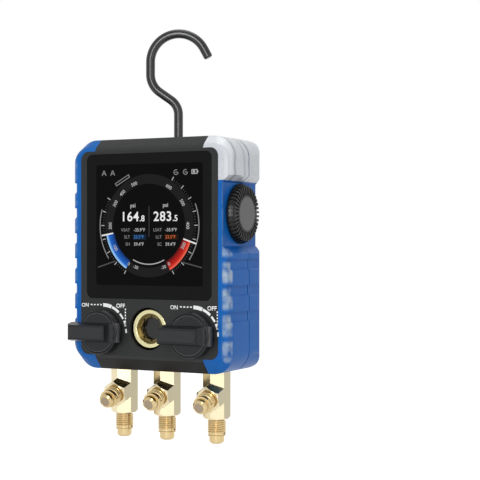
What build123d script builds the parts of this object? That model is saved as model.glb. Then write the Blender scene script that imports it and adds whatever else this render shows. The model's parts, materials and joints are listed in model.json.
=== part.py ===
from build123d import *
import math
import os

# Digital two-valve refrigerant manifold gauge.
#
# The model is built in the body's own coordinates, in millimetres: X to the right, Y from the
# front face towards the back, Z up from the underside of the housing. Each piece is moved at
# export so that the origin of the finished part is the seat in the hook that it hangs from.

# ---------------------------------------------------------------- driving dimensions: housing
BODY_WIDTH = 105.0          # over the rubber grips
BODY_HEIGHT = 136.4
BODY_DEPTH = 46.5
BODY_CORNER = 13.0          # corner radius of the outline seen from the front
BACK_SIDE_ROUND = 8.0       # plan radius of the two rear side edges
BACK_TOP_ROUND = 4.0        # radius of the rear top and bottom edges
SEAM_Y = 27.0               # parting plane between the front and the rear half
WALL = 2.5

FACE_BEVEL_HEIGHT = 7.2     # top of the face down to the full height
FACE_BEVEL_DEPTH = 7.0
FACE_STEP_HEIGHT = 4.8      # the flatter second part of that bevel
FACE_STEP_DEPTH = 1.4
LIP_INSET = 2.1             # front edge of the side grip, in from the full width
LIP_STEP_INSET = 0.8
SIDE_STRIP_DEPTH = 8.5      # where the side grip reaches the full width

GRIP_WIDTH = 6.2            # rubber each side of the black front face
FACE_BOTTOM = 8.8
FACE_CORNER = 5.0
BAND_INSET = 9.8            # black band between the grip ends, narrower than the face

# ---------------------------------------------------------------- rubber grips
RIB_PITCH = 15.0
RIB_LOWEST_Z = 35.7         # lower edge of the lowest raised pad above a recess
RIB_RECESS_HEIGHT = 6.5
RIB_RECESS_DEPTH = 1.2
LEFT_RIBS = 6
RIGHT_RIBS = 3
PARTING_GROOVE_WIDTH = 0.8
PARTING_GROOVE_DEPTH = 2.0
CORNER_CAP_HEIGHT = 25.8    # pale cap on the top right corner

# ---------------------------------------------------------------- display
LENS_RAIL = 4.1             # black face each side of the lens
LENS_BOTTOM = 42.2
LENS_TOP_RAIL = 1.8         # black face above the lens
LENS_CORNER = 4.0
LENS_THICKNESS = 1.5
LENS_LEDGE = 2.2            # width of the ledge that the lens is bonded to
LENS_GAP = 0.1
LCD_SIDE_BORDER = 4.9       # lens past the square panel, 72 x 70 mm of which is active
LCD_LOWER_BORDER = 5.9
LCD_UPPER_BORDER = 4.7
LCD_THICKNESS = 3.4
LCD_CORNER = 2.0
LCD_TAIL_HALF_WIDTH = 8.0
LCD_TAIL_LENGTH = 1.2
LCD_TAIL_THICKNESS = 1.0
FRAME_THICKNESS = 3.0
FRAME_SIDE_GAP = 0.5
FRAME_MARGIN = 2.6          # frame past the panel, top and bottom
FRAME_RAIL = 8.3            # frame behind the edges of the panel
FRAME_CORNER = 3.0
BOARD_THICKNESS = 1.6
BOARD_SIDE_MARGIN = 0.7     # board inside the panel's outline
BOARD_END_MARGIN = 1.3
PROCESSOR_SIZE = 16.0
MEMORY_WIDTH = 10.0
MEMORY_HEIGHT = 8.0
CHIP_THICKNESS = 1.2
CHIP_SPACING = 6.0
CONNECTOR_WIDTH = 16.0
CONNECTOR_HEIGHT = 6.0
CONNECTOR_THICKNESS = 3.5
CONNECTOR_SPACING = 9.0     # from the middle of the board
CONNECTOR_RISE = 8.0        # above the lower edge of the board
SOCKET_WIDTH = 6.0
SOCKET_HEIGHT = 12.0
BUZZER_RADIUS = 6.0
BUZZER_HEIGHT = 4.0

# ---------------------------------------------------------------- valves
VALVE_INSET = 15.8          # axis of each valve from the edge of the face
VALVE_Z = 22.5
STEM_RADIUS = 4.0
PISTON_RADIUS = 4.9
RUNNING_GAP = 0.05          # radial clearance of shafts in their bores
HANDLE_GAP = 0.5            # handle off the face
HANDLE_BASE_RADIUS = 13.0
HANDLE_BASE_HEIGHT = 6.5
HANDLE_FRONT = 12.8         # front of the lever, off the face
HANDLE_REACH = 18.0         # long end of the lever from the axis
HANDLE_FLAT_END = 8.5       # where the lever's front starts to fall away
HANDLE_NOSE = 14.5          # short end of the lever from the axis
HANDLE_HALF_HEIGHT = 5.6    # lever half height at the base
HANDLE_TOP_HALF_HEIGHT = 4.3
HANDLE_UNDERCUT = 4.0       # underside of the long end, off the face
LABEL_LENGTH = 24.0
LABEL_HEIGHT = 7.0
LABEL_THICKNESS = 1.0
BONNET_FLATS = 15.0
BONNET_HEAD = 7.0
BONNET_THREAD_RADIUS = 7.0
BONNET_THREAD_LENGTH = 6.0
BONNET_TURNED_EDGE = 0.5
SEAL_GROOVE_DEPTH = 1.6
SEAL_GROOVE_WIDTH = 1.6
SEAL_WIDTH = 1.4
PISTON_START = 0.3          # behind the bonnet's thread
PISTON_END = 16.5           # from the front of the block
PISTON_GROOVE = 14.0
CHAMBER_DEPTH = 17.0
STEM_IN_LEVER = 1.0         # stem past the handle's base, in the lever
STEM_FLAT = 1.0             # depth of the flat that keys the handle
STEM_TAP_DEPTH = 6.0
STEM_HOLE_GAP = 0.6         # stem in the face of the shell
HANDLE_SCREW_BRIDGE = 1.2   # handle clamped under the screw's head
HANDLE_SCREW_BITE = 5.5
HANDLE_CORNER = 2.0
HANDLE_BASE_ROUND = 0.8
HANDLE_NOSE_LIFT = 1.5      # end face of the nose, in front of the base
LABEL_MARGIN = 1.5
LABEL_CORNER = 1.6
LABEL_GAP = 0.05

# ---------------------------------------------------------------- manifold block and sight glass
BLOCK_END = 8.0             # block past the outer ports
BLOCK_BOTTOM = 11.5
BLOCK_TOP = 41.0
BLOCK_FRONT = 13.0
BLOCK_BACK = 36.0
BLOCK_EDGE = 1.5
GALLERY_RADIUS = 2.4
SIGHT_Z = 25.0
SIGHT_RADIUS = 11.5
SIGHT_BORE_RADIUS = 8.6
SIGHT_FACE_Y = 2.0
SIGHT_GAP = 0.9             # dark gap between the barrel and the face
SIGHT_RING_BORE = 6.6
SIGHT_RING_THICKNESS = 2.6
SIGHT_RING_DEPTH = 2.6      # below the front of the barrel
SIGHT_NOTCHES = 8
SIGHT_NOTCH_WIDTH = 1.6
SIGHT_GLASS_THICKNESS = 3.0
SIGHT_GLASS_GAP = 0.1
SIGHT_SEAT = 1.0            # inner flange behind the seal
SENSOR_X = 22.0             # each side of the middle
SENSOR_THREAD_RADIUS = 5.0
SENSOR_THREAD_LENGTH = 8.0
SENSOR_RADIUS = 8.0
SENSOR_HEX_HEIGHT = 4.0
SENSOR_HEIGHT = 9.0
SENSOR_PIN_RADIUS = 0.5
SENSOR_PIN_PITCH = 2.5
SENSOR_PIN_LENGTH = 2.0
SENSOR_SEAL_THICKNESS = 1.0

# ---------------------------------------------------------------- hose ports, 1/4 inch SAE flare
PORT_MIDDLE_X = -0.5
HIGH_PORT_SHIFT = 2.5       # the high port stands further out than its valve
PORT_Y = 23.3
HEX_FLATS = 14.0
HEX_EDGE = 1.3              # turned chamfer on the hexagon's end
HEX_END_Z = -27.7
FLARE_THREAD_RADIUS = 5.556  # 7/16-20 UNF
FLARE_THREAD_LENGTH = 10.1
FLARE_NOSE_RADIUS = 4.4
FLARE_NOSE_LENGTH = 4.3
FLARE_NOSE_CHAMFER = 1.1
PORT_SPIGOT_RADIUS = 5.5
PORT_SPIGOT_LENGTH = 3.5
ARM_ANGLE = 17.5            # degrees below the horizontal
ARM_JOINT_Z = -12.3
ARM_LENGTH = 12.1
ARM_THREAD_LENGTH = 7.0
ARM_NOSE_LENGTH = 3.8
PORT_SPIGOT_END_GAP = 0.5
OPENING_CLEARANCE = 0.4     # round each hexagon where it leaves the housing

# ---------------------------------------------------------------- side knob on its encoder
KNOB_Y = 24.8
KNOB_FROM_TOP = 44.5
KNOB_FACE_INSET = 0.2       # face of the knob inside the full width
KNOB_HEIGHT = 4.6
KNOB_BACK_RADIUS = 17.5
KNOB_FACE_RADIUS = 16.2
KNOB_TEETH = 40
KNOB_GROOVE_WIDTH = 1.1
KNOB_GROOVE_DEPTH = 1.0
KNOB_DISC_RADIUS = 9.7
KNOB_DISC_THICKNESS = 0.8
KNOB_TOP_THICKNESS = 2.0
KNOB_RIM = 2.6
KNOB_HUB_RADIUS = 5.0
KNOB_TRAVEL = 0.5
KNOB_PUSHED_GAP = 0.2       # knob off the rubber when it is pushed home
KNOB_RECESS_BELOW = 18.6    # ends of the recess from the knob's axis
KNOB_RECESS_ABOVE = 17.6
KNOB_RECESS_RAMP = 4.4
KNOB_LIP_DEPTH = 1.6        # the front lip that stays in front of the recess
KNOB_LIP_INSET = 3.8
ENCODER_SIZE = 13.0
ENCODER_DEPTH = 6.8
ENCODER_SHAFT_RADIUS = 3.0
ENCODER_BUSH_RADIUS = 3.8
ENCODER_BUSH_LENGTH = 4.3   # through the pad and the nut
ENCODER_NUT_FLATS = 11.0
ENCODER_NUT_HEIGHT = 1.6
ENCODER_NUT_ROOM = 8.0      # radius of the hole in the rubber over the nut
ENCODER_PAD_RADIUS = 11.0   # round pad of the front half that carries the encoder
ENCODER_WALL = 1.0
ENCODER_FRONT_WALL = 1.2
ENCODER_ROOM_RADIUS = 5.0   # inside the can
PLUNGER_THICKNESS = 1.2
PLUNGER_RADIUS = 4.6
PLUNGER_END_GAP = 0.3       # behind the plunger when it is pushed home
SHAFT_COLLAR_RADIUS = 4.4
SHAFT_COLLAR_LENGTH = 1.4
KNOB_EDGE = 0.7
KNOB_FLANGE = 1.0
KNOB_HUB_LENGTH = 1.3
KNOB_GROOVE_START = 1.0     # outside the disc
KNOB_GROOVE_CORNER = 0.6
KNOB_GROOVE_RISE = 0.8      # floor of the groove towards the flange

# ---------------------------------------------------------------- hook
HOOK_RADIUS = 2.75
HOOK_FROM_BACK = 10.5
HOOK_TURN = 25.0            # degrees that the hook stands turned at rest
HOOK_SHANK_OUT = 16.1       # straight shank above the housing
HOOK_BEND_RADIUS = 11.0
HOOK_BEND_ANGLE = 55.0
HOOK_LOWER_RADIUS = 13.0
HOOK_BOW_RADIUS = 17.2
HOOK_BOW_LEFT = -17.0
HOOK_BOW_STRAIGHT = 7.5
HOOK_BOW_SWEEP = 152.0
HOOK_TIP_LENGTH = 6.3
HOOK_SHANK_IN = 11.4        # shank below the top of the housing
HOOK_BUSH_WALL = 1.6
HOOK_BUSH_LENGTH = 8.0
HOOK_CLIP_THICKNESS = 1.0
HOOK_CLIP_DEPTH = 0.65
HOOK_WASHER_THICKNESS = 1.0
HOOK_WASHER_WIDTH = 2.6
HOOK_CLIP_WIDTH = 1.9
HOOK_END_CHAMFER = 0.6
HOOK_BOSS_WALL = 1.8

# ---------------------------------------------------------------- battery bay and fasteners
CELL_RADIUS = 7.1           # three AA cells
CELL_LENGTH = 49.2
CELL_NUB = 1.2
CELL_PITCH = 15.0
CELL_RISE = 4.5             # above the pins of the pressure sensors
CONTACT_THICKNESS = 0.5
CONTACT_HEIGHT = 2.0
BAY_WALL = 1.5
BAY_GAP = 0.4
DOOR_THICKNESS = 2.2
DOOR_MARGIN = 2.5
DOOR_GAP = 0.2
DOOR_EAR = 8.0
CASE_POST_INSET = 3.2       # axis of each post from the inside of the side wall
CASE_POST_RADIUS = 3.1
LOW_POST_RISE = 4.8         # above the lower edge of the lens
MIDDLE_POST_DROP = 9.4      # below the middle of the display
HIGH_POST_DROP = 6.2        # below the top of the face
SCREW_RADIUS = 1.25
SCREW_HEAD_RADIUS = 2.4
SCREW_HEAD_HEIGHT = 1.8
SCREW_SOCKET_RADIUS = 0.9
BLOCK_SCREW_X = 15.5
BLOCK_SCREW_Z = (16.0, 36.0)
BOARD_SCREW_INSET = 3.6
FRAME_POST_INSET = 3.1
LOW_FRAME_SCREW_RISE = 7.9  # from the ends of the panel
HIGH_FRAME_SCREW_DROP = 8.7
GASKET_WIDTH = 1.0
GASKET_DEPTH = 1.0
SOCKET_DEPTH = 1.0          # of the socket in every screw head
CASE_SCREW_SINK = 6.0       # heads of the case screws, below the back
CASE_SCREW_BITE = 9.0       # thread past the seam, in the front posts
COUNTERBORE_GAP = 0.3
FRAME_SCREW_LENGTH = 5.0
BOARD_SCREW_LENGTH = 4.0
BOARD_SCREW_MARGIN = 4.0    # in from the board's upper and lower edge
BLOCK_SCREW_BITE = 6.0      # thread past the block, in the front posts
DOOR_SCREW_LENGTH = 5.0
DOOR_POST_LENGTH = 8.0
DOOR_CORNER = 3.0
DOOR_GRIP_COUNT = 5         # thumb grooves in the door
DOOR_GRIP_PITCH = 2.2
DOOR_GRIP_LENGTH = 20.0
DOOR_GRIP_WIDTH = 1.1
DOOR_GRIP_DEPTH = 0.6
CONTACT_HALF_WIDTH = 4.0
CELL_NUB_RADIUS = 2.6

# ---------------------------------------------------------------- worked out from the above
HALF_WIDTH = BODY_WIDTH / 2
FACE_HALF_WIDTH = HALF_WIDTH - GRIP_WIDTH
FACE_TOP = BODY_HEIGHT - FACE_BEVEL_HEIGHT
BAND_HALF_WIDTH = FACE_HALF_WIDTH - BAND_INSET
INNER_WALL_X = FACE_HALF_WIDTH - WALL
CORNER_CAP_BOTTOM = BODY_HEIGHT - CORNER_CAP_HEIGHT

LENS_HALF_WIDTH = FACE_HALF_WIDTH - LENS_RAIL
LENS_TOP = FACE_TOP - LENS_TOP_RAIL
LCD_WIDTH = 2 * (LENS_HALF_WIDTH - LCD_SIDE_BORDER)
LCD_BOTTOM = LENS_BOTTOM + LCD_LOWER_BORDER
LCD_TOP = LENS_TOP - LCD_UPPER_BORDER
LCD_CENTRE_Z = (LCD_BOTTOM + LCD_TOP) / 2
BOARD_HALF_WIDTH = LCD_WIDTH / 2 - BOARD_SIDE_MARGIN
BOARD_BOTTOM = LCD_BOTTOM + BOARD_END_MARGIN
BOARD_TOP = LCD_TOP - BOARD_END_MARGIN
DISPLAY_BACK_Y = LENS_THICKNESS + LCD_THICKNESS
FRAME_BACK_Y = DISPLAY_BACK_Y + FRAME_THICKNESS
BOARD_BACK_Y = FRAME_BACK_Y + BOARD_THICKNESS

VALVE_X = FACE_HALF_WIDTH - VALVE_INSET
PORT_X = (-VALVE_X, PORT_MIDDLE_X, VALVE_X + HIGH_PORT_SHIFT)
BLOCK_LEFT = PORT_X[0] - BLOCK_END
BLOCK_RIGHT = PORT_X[2] + BLOCK_END
HEX_RADIUS = HEX_FLATS / math.sqrt(3)

CASE_SCREW_X = INNER_WALL_X - CASE_POST_INSET
CASE_SCREW_Z = (LENS_BOTTOM + LOW_POST_RISE, LCD_CENTRE_Z - MIDDLE_POST_DROP, FACE_TOP - HIGH_POST_DROP)
FRAME_SCREW_X = INNER_WALL_X - FRAME_POST_INSET
FRAME_SCREW_Z = (LCD_BOTTOM + LOW_FRAME_SCREW_RISE, LCD_TOP - HIGH_FRAME_SCREW_DROP)
BOARD_SCREW_X = BOARD_HALF_WIDTH - BOARD_SCREW_INSET

KNOB_Z = BODY_HEIGHT - KNOB_FROM_TOP
KNOB_FACE_X = HALF_WIDTH - KNOB_FACE_INSET
KNOB_BACK_X = KNOB_FACE_X - KNOB_HEIGHT
KNOB_RECESS_FLOOR_X = KNOB_BACK_X - KNOB_TRAVEL - KNOB_PUSHED_GAP
KNOB_RECESS_BOTTOM = KNOB_Z - KNOB_RECESS_BELOW
KNOB_RECESS_TOP = KNOB_Z + KNOB_RECESS_ABOVE
KNOB_LIP_X = HALF_WIDTH - KNOB_LIP_INSET
ENCODER_BACK_X = INNER_WALL_X - ENCODER_DEPTH
ENCODER_BUSH_END_X = INNER_WALL_X + ENCODER_BUSH_LENGTH

HOOK_Y = BODY_DEPTH - HOOK_FROM_BACK
HOOK_BEND_Z = BODY_HEIGHT + HOOK_SHANK_OUT
HOOK_FOOT_Z = BODY_HEIGHT - HOOK_SHANK_IN
HOOK_BUSH_BOTTOM = BODY_HEIGHT - HOOK_BUSH_LENGTH
SENSOR_TOP = BLOCK_TOP + SENSOR_SEAL_THICKNESS + SENSOR_HEIGHT + SENSOR_PIN_LENGTH
CELL_BOTTOM = SENSOR_TOP + CELL_RISE
CUT = 1.0                   # how far cutters run past the faces they open
BOND = 0.5                  # how far pieces of one solid reach into each other
PARTS_FOLDER = "parts"


# ---------------------------------------------------------------- drawing helpers
def face_plane(y=0.0, x=0.0, z=0.0):
    """Plane parallel to the front face: sketch x is X and sketch y is Z."""
    return Plane(origin=(x, y, z), x_dir=(1, 0, 0), z_dir=(0, -1, 0))


def prism(profile, front, back):
    """Solid with a front-view profile between two depths."""
    return extrude(face_plane(front) * profile, back - front, dir=(0, 1, 0))


def rod(x, z, radius, front, back):
    """Cylinder along Y."""
    return prism(Pos(x, z) * Circle(radius), front, back)


def tube(x, z, outer, inner, front, back):
    """Ring or sleeve along Y."""
    return prism(Pos(x, z) * (Circle(outer) - Circle(inner)), front, back)


def block(low, high):
    """Box between two corners."""
    size = [b - a for a, b in zip(low, high)]
    centre = [(a + b) / 2 for a, b in zip(low, high)]
    return Pos(*centre) * Box(*size)


def rounded(half_width, bottom, top, radius):
    """Rounded rectangle, centred on X, between two heights."""
    return Pos(0, (bottom + top) / 2) * RectangleRounded(2 * half_width, top - bottom, radius)


def upright(x, y, bottom, top, radius):
    """Cylinder along Z."""
    return Pos(x, y, (bottom + top) / 2) * Cylinder(radius, top - bottom)


def side_rod(left, right, radius):
    """Cylinder along X on the knob's axis."""
    plane = Plane(origin=(left, KNOB_Y, KNOB_Z), x_dir=(0, 1, 0), z_dir=(1, 0, 0))
    return extrude(plane * Circle(radius), right - left)


def hexagon(flats):
    """Hexagon with its flats on sketch left and right."""
    return Rot(0, 0, 30) * RegularPolygon(flats / math.sqrt(3), 6)


def panel_screw(x, z, head, length, radius=SCREW_RADIUS):
    """Screw along Y whose head starts at the depth `head` and whose tip points to the front."""
    screw = rod(x, z, SCREW_HEAD_RADIUS, head - SCREW_HEAD_HEIGHT, head)
    screw += rod(x, z, radius, head - SCREW_HEAD_HEIGHT - length, head - SCREW_HEAD_HEIGHT)
    socket = prism(Pos(x, z) * RegularPolygon(SCREW_SOCKET_RADIUS, 6), head - SOCKET_DEPTH, head)
    return screw - socket


def group(solids):
    """Several separate solids in one node."""
    return Compound(children=[s if isinstance(s, Solid) else s.solid() for s in solids])


# ---------------------------------------------------------------- housing outline
def housing_sections():
    """Depth, half width, bottom, top and corner radius of the front bevels."""
    low_step = FACE_BOTTOM - (FACE_BEVEL_HEIGHT - FACE_STEP_HEIGHT)
    high_step = FACE_TOP + (FACE_BEVEL_HEIGHT - FACE_STEP_HEIGHT)
    return (
        (0.0, HALF_WIDTH - LIP_INSET, FACE_BOTTOM, FACE_TOP, BODY_CORNER - 6.0),
        (FACE_STEP_DEPTH, HALF_WIDTH - LIP_STEP_INSET, low_step, high_step, BODY_CORNER - 4.0),
        (FACE_BEVEL_DEPTH, HALF_WIDTH - 0.2, 0.0, BODY_HEIGHT, BODY_CORNER - 0.5),
        (SIDE_STRIP_DEPTH, HALF_WIDTH, 0.0, BODY_HEIGHT, BODY_CORNER),
    )


def housing_envelope():
    """The whole outer form: bevelled front, straight sides, rounded rear edges."""
    sections = housing_sections()
    faces = [face_plane(y) * rounded(half, low, high, r) for y, half, low, high, r in sections]
    _, half, low, high, corner = sections[-1]
    form = loft(faces, ruled=True)
    form += prism(rounded(half, low, high, corner), SIDE_STRIP_DEPTH, BODY_DEPTH)
    plan_depth = 3 * BODY_DEPTH
    plan = Pos(0, BODY_DEPTH - plan_depth / 2) * RectangleRounded(BODY_WIDTH, plan_depth, BACK_SIDE_ROUND)
    form &= extrude(plan, BODY_HEIGHT)
    side_plane = Plane(origin=(-HALF_WIDTH, 0, 0), x_dir=(0, 1, 0), z_dir=(1, 0, 0))
    side = Pos(BODY_DEPTH - plan_depth / 2, BODY_HEIGHT / 2) * RectangleRounded(
        plan_depth, BODY_HEIGHT, BACK_TOP_ROUND)
    return form & extrude(side_plane * side, BODY_WIDTH)


def shell_profile(inset=0.0):
    """Front view of the two plastic shells: the face and the band that runs over its ends."""
    face = rounded(FACE_HALF_WIDTH - inset, FACE_BOTTOM + inset, FACE_TOP - inset, FACE_CORNER - inset / 2)
    band_height = BODY_HEIGHT - 2 * inset
    return face + Pos(0, BODY_HEIGHT / 2) * Rectangle(2 * (BAND_HALF_WIDTH - inset), band_height)


def port_openings():
    """Room for the three hexagon bars where they leave the housing."""
    profile = hexagon(HEX_FLATS + 2 * OPENING_CLEARANCE)
    bars = [extrude(Pos(x, PORT_Y, -1.0) * profile, BLOCK_BOTTOM + 1.0) for x in PORT_X]
    return bars[0] + bars[1] + bars[2]


# ---------------------------------------------------------------- rubber grips
def side_inset(y):
    """How far the side surface lies inside the full width at a depth."""
    sections = housing_sections()
    for near, far in zip(sections, sections[1:]):
        if y <= far[0]:
            share = (y - near[0]) / (far[0] - near[0])
            return HALF_WIDTH - (near[1] + share * (far[1] - near[1]))
    return 0.0


def rib_recess(side, groove_z):
    """Cutter for one recess between two pads; it follows the side surface from front to back."""
    outside = 3.0
    ramp = RIB_RECESS_DEPTH
    depths = [-0.2] + [s[0] for s in housing_sections()] + [BODY_DEPTH + 1]
    outlines = []
    for y in depths:
        surface = HALF_WIDTH - side_inset(max(y, 0.0))
        floor = surface - RIB_RECESS_DEPTH
        points = (
            (side * (surface + outside), groove_z),
            (side * floor, groove_z),
            (side * floor, groove_z - RIB_RECESS_HEIGHT + ramp),
            (side * (surface + outside), groove_z - RIB_RECESS_HEIGHT - outside),
        )
        outlines.append(face_plane(y) * make_face(Polyline(*points, close=True)))
    return loft(outlines, ruled=True)


def knob_recess():
    """Scoop in the right side round the knob, with a ramp at each end."""
    outside = HALF_WIDTH + 1.0
    ramp = KNOB_RECESS_RAMP * (outside - KNOB_RECESS_FLOOR_X) / (HALF_WIDTH - KNOB_RECESS_FLOOR_X)
    points = (
        (outside, KNOB_RECESS_BOTTOM - ramp),
        (KNOB_RECESS_FLOOR_X, KNOB_RECESS_BOTTOM),
        (KNOB_RECESS_FLOOR_X, KNOB_RECESS_TOP),
        (outside, KNOB_RECESS_TOP + ramp),
    )
    scoop = prism(make_face(Polyline(*points, close=True)), KNOB_LIP_DEPTH, BODY_DEPTH + CUT)
    lip_points = [(max(x, KNOB_LIP_X), z) for x, z in points]
    return scoop + prism(make_face(Polyline(*lip_points, close=True)), -CUT, KNOB_LIP_DEPTH)


def parting_groove():
    """Shadow groove where the front and rear rubber meet."""
    outline = rounded(HALF_WIDTH + CUT, -CUT, BODY_HEIGHT + CUT, BODY_CORNER)
    inner = rounded(
        HALF_WIDTH - PARTING_GROOVE_DEPTH, PARTING_GROOVE_DEPTH, BODY_HEIGHT - PARTING_GROOVE_DEPTH,
        BODY_CORNER - PARTING_GROOVE_DEPTH)
    half = PARTING_GROOVE_WIDTH / 2
    return prism(outline - inner, SEAM_Y - half, SEAM_Y + half)


def rubber_grips(envelope):
    """Left grip, right grip and the pale corner cap, each still in one piece front to back."""
    rubber = envelope - prism(shell_profile(), -CUT, BODY_DEPTH + CUT) - port_openings() - parting_groove()
    left_half = block((-HALF_WIDTH - CUT, -CUT, -CUT), (0, BODY_DEPTH + CUT, BODY_HEIGHT + CUT))
    left = rubber & left_half
    right = rubber - left_half
    for index in range(LEFT_RIBS):
        left -= rib_recess(-1, RIB_LOWEST_Z + index * RIB_PITCH)
    for index in range(RIGHT_RIBS):
        right -= rib_recess(1, RIB_LOWEST_Z + index * RIB_PITCH)
    nut_room = side_rod(FACE_HALF_WIDTH - CUT, KNOB_RECESS_FLOOR_X + CUT, ENCODER_NUT_ROOM)
    right = right - knob_recess() - nut_room
    cap_zone = block((0, -CUT, CORNER_CAP_BOTTOM), (HALF_WIDTH + CUT, BODY_DEPTH + CUT, BODY_HEIGHT + CUT))
    return left, right - cap_zone, right & cap_zone


def halves(solid):
    """The front and the rear half of a piece that is parted at the seam."""
    front_zone = block((-HALF_WIDTH - CUT, -CUT, -CUT), (HALF_WIDTH + CUT, SEAM_Y, BODY_HEIGHT + CUT))
    return solid & front_zone, solid - front_zone


# ---------------------------------------------------------------- plastic shells
def shell_cavity():
    """Hollow inside the two shells: a plain pocket behind the face, the full form further back."""
    pocket = rounded(INNER_WALL_X, FACE_BOTTOM + WALL, FACE_TOP - WALL, FACE_CORNER - WALL / 2)
    deep_front = FACE_BEVEL_DEPTH + WALL
    cavity = prism(pocket, WALL, deep_front)
    return cavity + prism(shell_profile(WALL), deep_front, BODY_DEPTH - WALL)


def encoder_pad(gap=0.0):
    """Round pad in the right wall, made with the front half, that the encoder is clamped to."""
    return side_rod(INNER_WALL_X - gap, FACE_HALF_WIDTH, ENCODER_PAD_RADIUS + gap)


def front_shell(envelope):
    """Front half: face with display ledge, handle and sight-glass holes, posts for the inside."""
    shell = halves(envelope & prism(shell_profile(), -CUT, BODY_DEPTH + CUT))[0] - shell_cavity()
    shell += encoder_pad()
    shell -= prism(rounded(LENS_HALF_WIDTH, LENS_BOTTOM, LENS_TOP, LENS_CORNER), -CUT, LENS_THICKNESS)
    window_top = LENS_TOP - LENS_LEDGE
    window = rounded(LENS_HALF_WIDTH - LENS_LEDGE, LENS_BOTTOM + LENS_LEDGE, window_top, LENS_CORNER / 2)
    shell -= prism(window, LENS_THICKNESS - CUT, DISPLAY_BACK_Y)
    for side in (-1, 1):
        for z in CASE_SCREW_Z:
            shell += tube(side * CASE_SCREW_X, z, CASE_POST_RADIUS, SCREW_RADIUS, WALL, SEAM_Y)
        for z in FRAME_SCREW_Z:
            shell += tube(side * FRAME_SCREW_X, z, SCREW_HEAD_RADIUS, SCREW_RADIUS, WALL, DISPLAY_BACK_Y)
        for z in BLOCK_SCREW_Z:
            shell += tube(side * BLOCK_SCREW_X, z, CASE_POST_RADIUS, SCREW_RADIUS, WALL, BLOCK_FRONT)
        shell -= rod(side * VALVE_X, VALVE_Z, STEM_RADIUS + STEM_HOLE_GAP, -CUT, WALL + CUT)
    shell -= rod(0, SIGHT_Z, SIGHT_RADIUS + SIGHT_GAP, -1, WALL + CUT)
    shell -= side_rod(INNER_WALL_X - CUT, FACE_HALF_WIDTH + CUT, ENCODER_BUSH_RADIUS + RUNNING_GAP)
    shell -= port_openings()
    return shell - gasket_ring()


def gasket_ring():
    """Cord seal in the rim of the front half, left out where the ports pass through."""
    middle = (WALL - GASKET_WIDTH) / 2
    ring = shell_profile(middle) - shell_profile(middle + GASKET_WIDTH)
    return prism(ring, SEAM_Y - GASKET_DEPTH, SEAM_Y) - port_openings() - encoder_pad(GASKET_WIDTH)


def bay_half_width():
    """Half width of the battery bay, across the three cells."""
    return CELL_PITCH + CELL_RADIUS + BAY_GAP


def bay_heights():
    """Lower and upper end of the battery bay."""
    bottom = CELL_BOTTOM - CONTACT_HEIGHT - BAY_GAP
    return bottom, CELL_BOTTOM + CELL_LENGTH + CELL_NUB + CONTACT_THICKNESS + BAY_GAP


def cell_axis_y():
    """Depth of the cells' axes."""
    return BODY_DEPTH - DOOR_THICKNESS - BAY_GAP - CELL_RADIUS


def bay_floor_y():
    """Depth of the bay's floor, in front of the cells."""
    return cell_axis_y() - CELL_RADIUS - BAY_GAP


def door_profile(gap=0.0):
    """Front view of the battery door: a rounded panel with a screw ear at each side."""
    bottom, top = bay_heights()
    half = bay_half_width() + DOOR_MARGIN - gap
    panel = rounded(half, bottom - DOOR_MARGIN + gap, top + DOOR_MARGIN - gap, DOOR_CORNER)
    ears = rounded(half + DOOR_EAR, LCD_CENTRE_Z - DOOR_EAR + gap, LCD_CENTRE_Z + DOOR_EAR - gap, DOOR_CORNER)
    return panel + ears


def door_screw_places():
    """Front-view places of the two screws in the door's ears."""
    x = bay_half_width() + DOOR_MARGIN + DOOR_EAR / 2 - CUT
    return ((-x, LCD_CENTRE_Z), (x, LCD_CENTRE_Z))


def back_shell(envelope):
    """Rear half: back wall with screw posts, the battery bay and the boss that carries the hook."""
    shell = halves(envelope & prism(shell_profile(), -CUT, BODY_DEPTH + CUT))[1] - shell_cavity()
    shell -= encoder_pad(BAY_GAP)
    back_wall = BODY_DEPTH - WALL
    bottom, top = bay_heights()
    half = bay_half_width()
    bay_outer = block((-half - BAY_WALL, bay_floor_y() - BAY_WALL, bottom - BAY_WALL),
                      (half + BAY_WALL, back_wall, top + BAY_WALL))
    bay_inner = block((-half, bay_floor_y(), bottom), (half, BODY_DEPTH + CUT, top))
    shell += bay_outer
    for x, z in door_screw_places():
        shell += rod(x, z, CASE_POST_RADIUS, back_wall - DOOR_POST_LENGTH, back_wall + BOND)
    shell -= bay_inner
    shell -= prism(door_profile(), BODY_DEPTH - DOOR_THICKNESS, BODY_DEPTH + CUT)
    for x, z in door_screw_places():
        shell -= rod(x, z, SCREW_RADIUS, back_wall - DOOR_POST_LENGTH + CUT, BODY_DEPTH + CUT)
    for side in (-1, 1):
        for z in CASE_SCREW_Z:
            x = side * CASE_SCREW_X
            seat = case_screw_head_y() - SCREW_HEAD_HEIGHT
            shell += rod(x, z, CASE_POST_RADIUS, SEAM_Y, back_wall + BOND)
            shell -= rod(x, z, SCREW_RADIUS, SEAM_Y - CUT, BODY_DEPTH + CUT)
            shell -= rod(x, z, SCREW_HEAD_RADIUS + COUNTERBORE_GAP, seat, BODY_DEPTH + CUT)
    bush_radius = HOOK_RADIUS + RUNNING_GAP + HOOK_BUSH_WALL
    ceiling = BODY_HEIGHT - WALL
    shell += upright(0, HOOK_Y, HOOK_BUSH_BOTTOM, ceiling + BOND, bush_radius + HOOK_BOSS_WALL)
    shell -= upright(0, HOOK_Y, HOOK_BUSH_BOTTOM - CUT, BODY_HEIGHT + CUT, bush_radius)
    return shell - port_openings()


def case_screw_head_y():
    """Depth of the outer end of the case screws' heads, down their counterbores."""
    return BODY_DEPTH - CASE_SCREW_SINK


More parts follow.
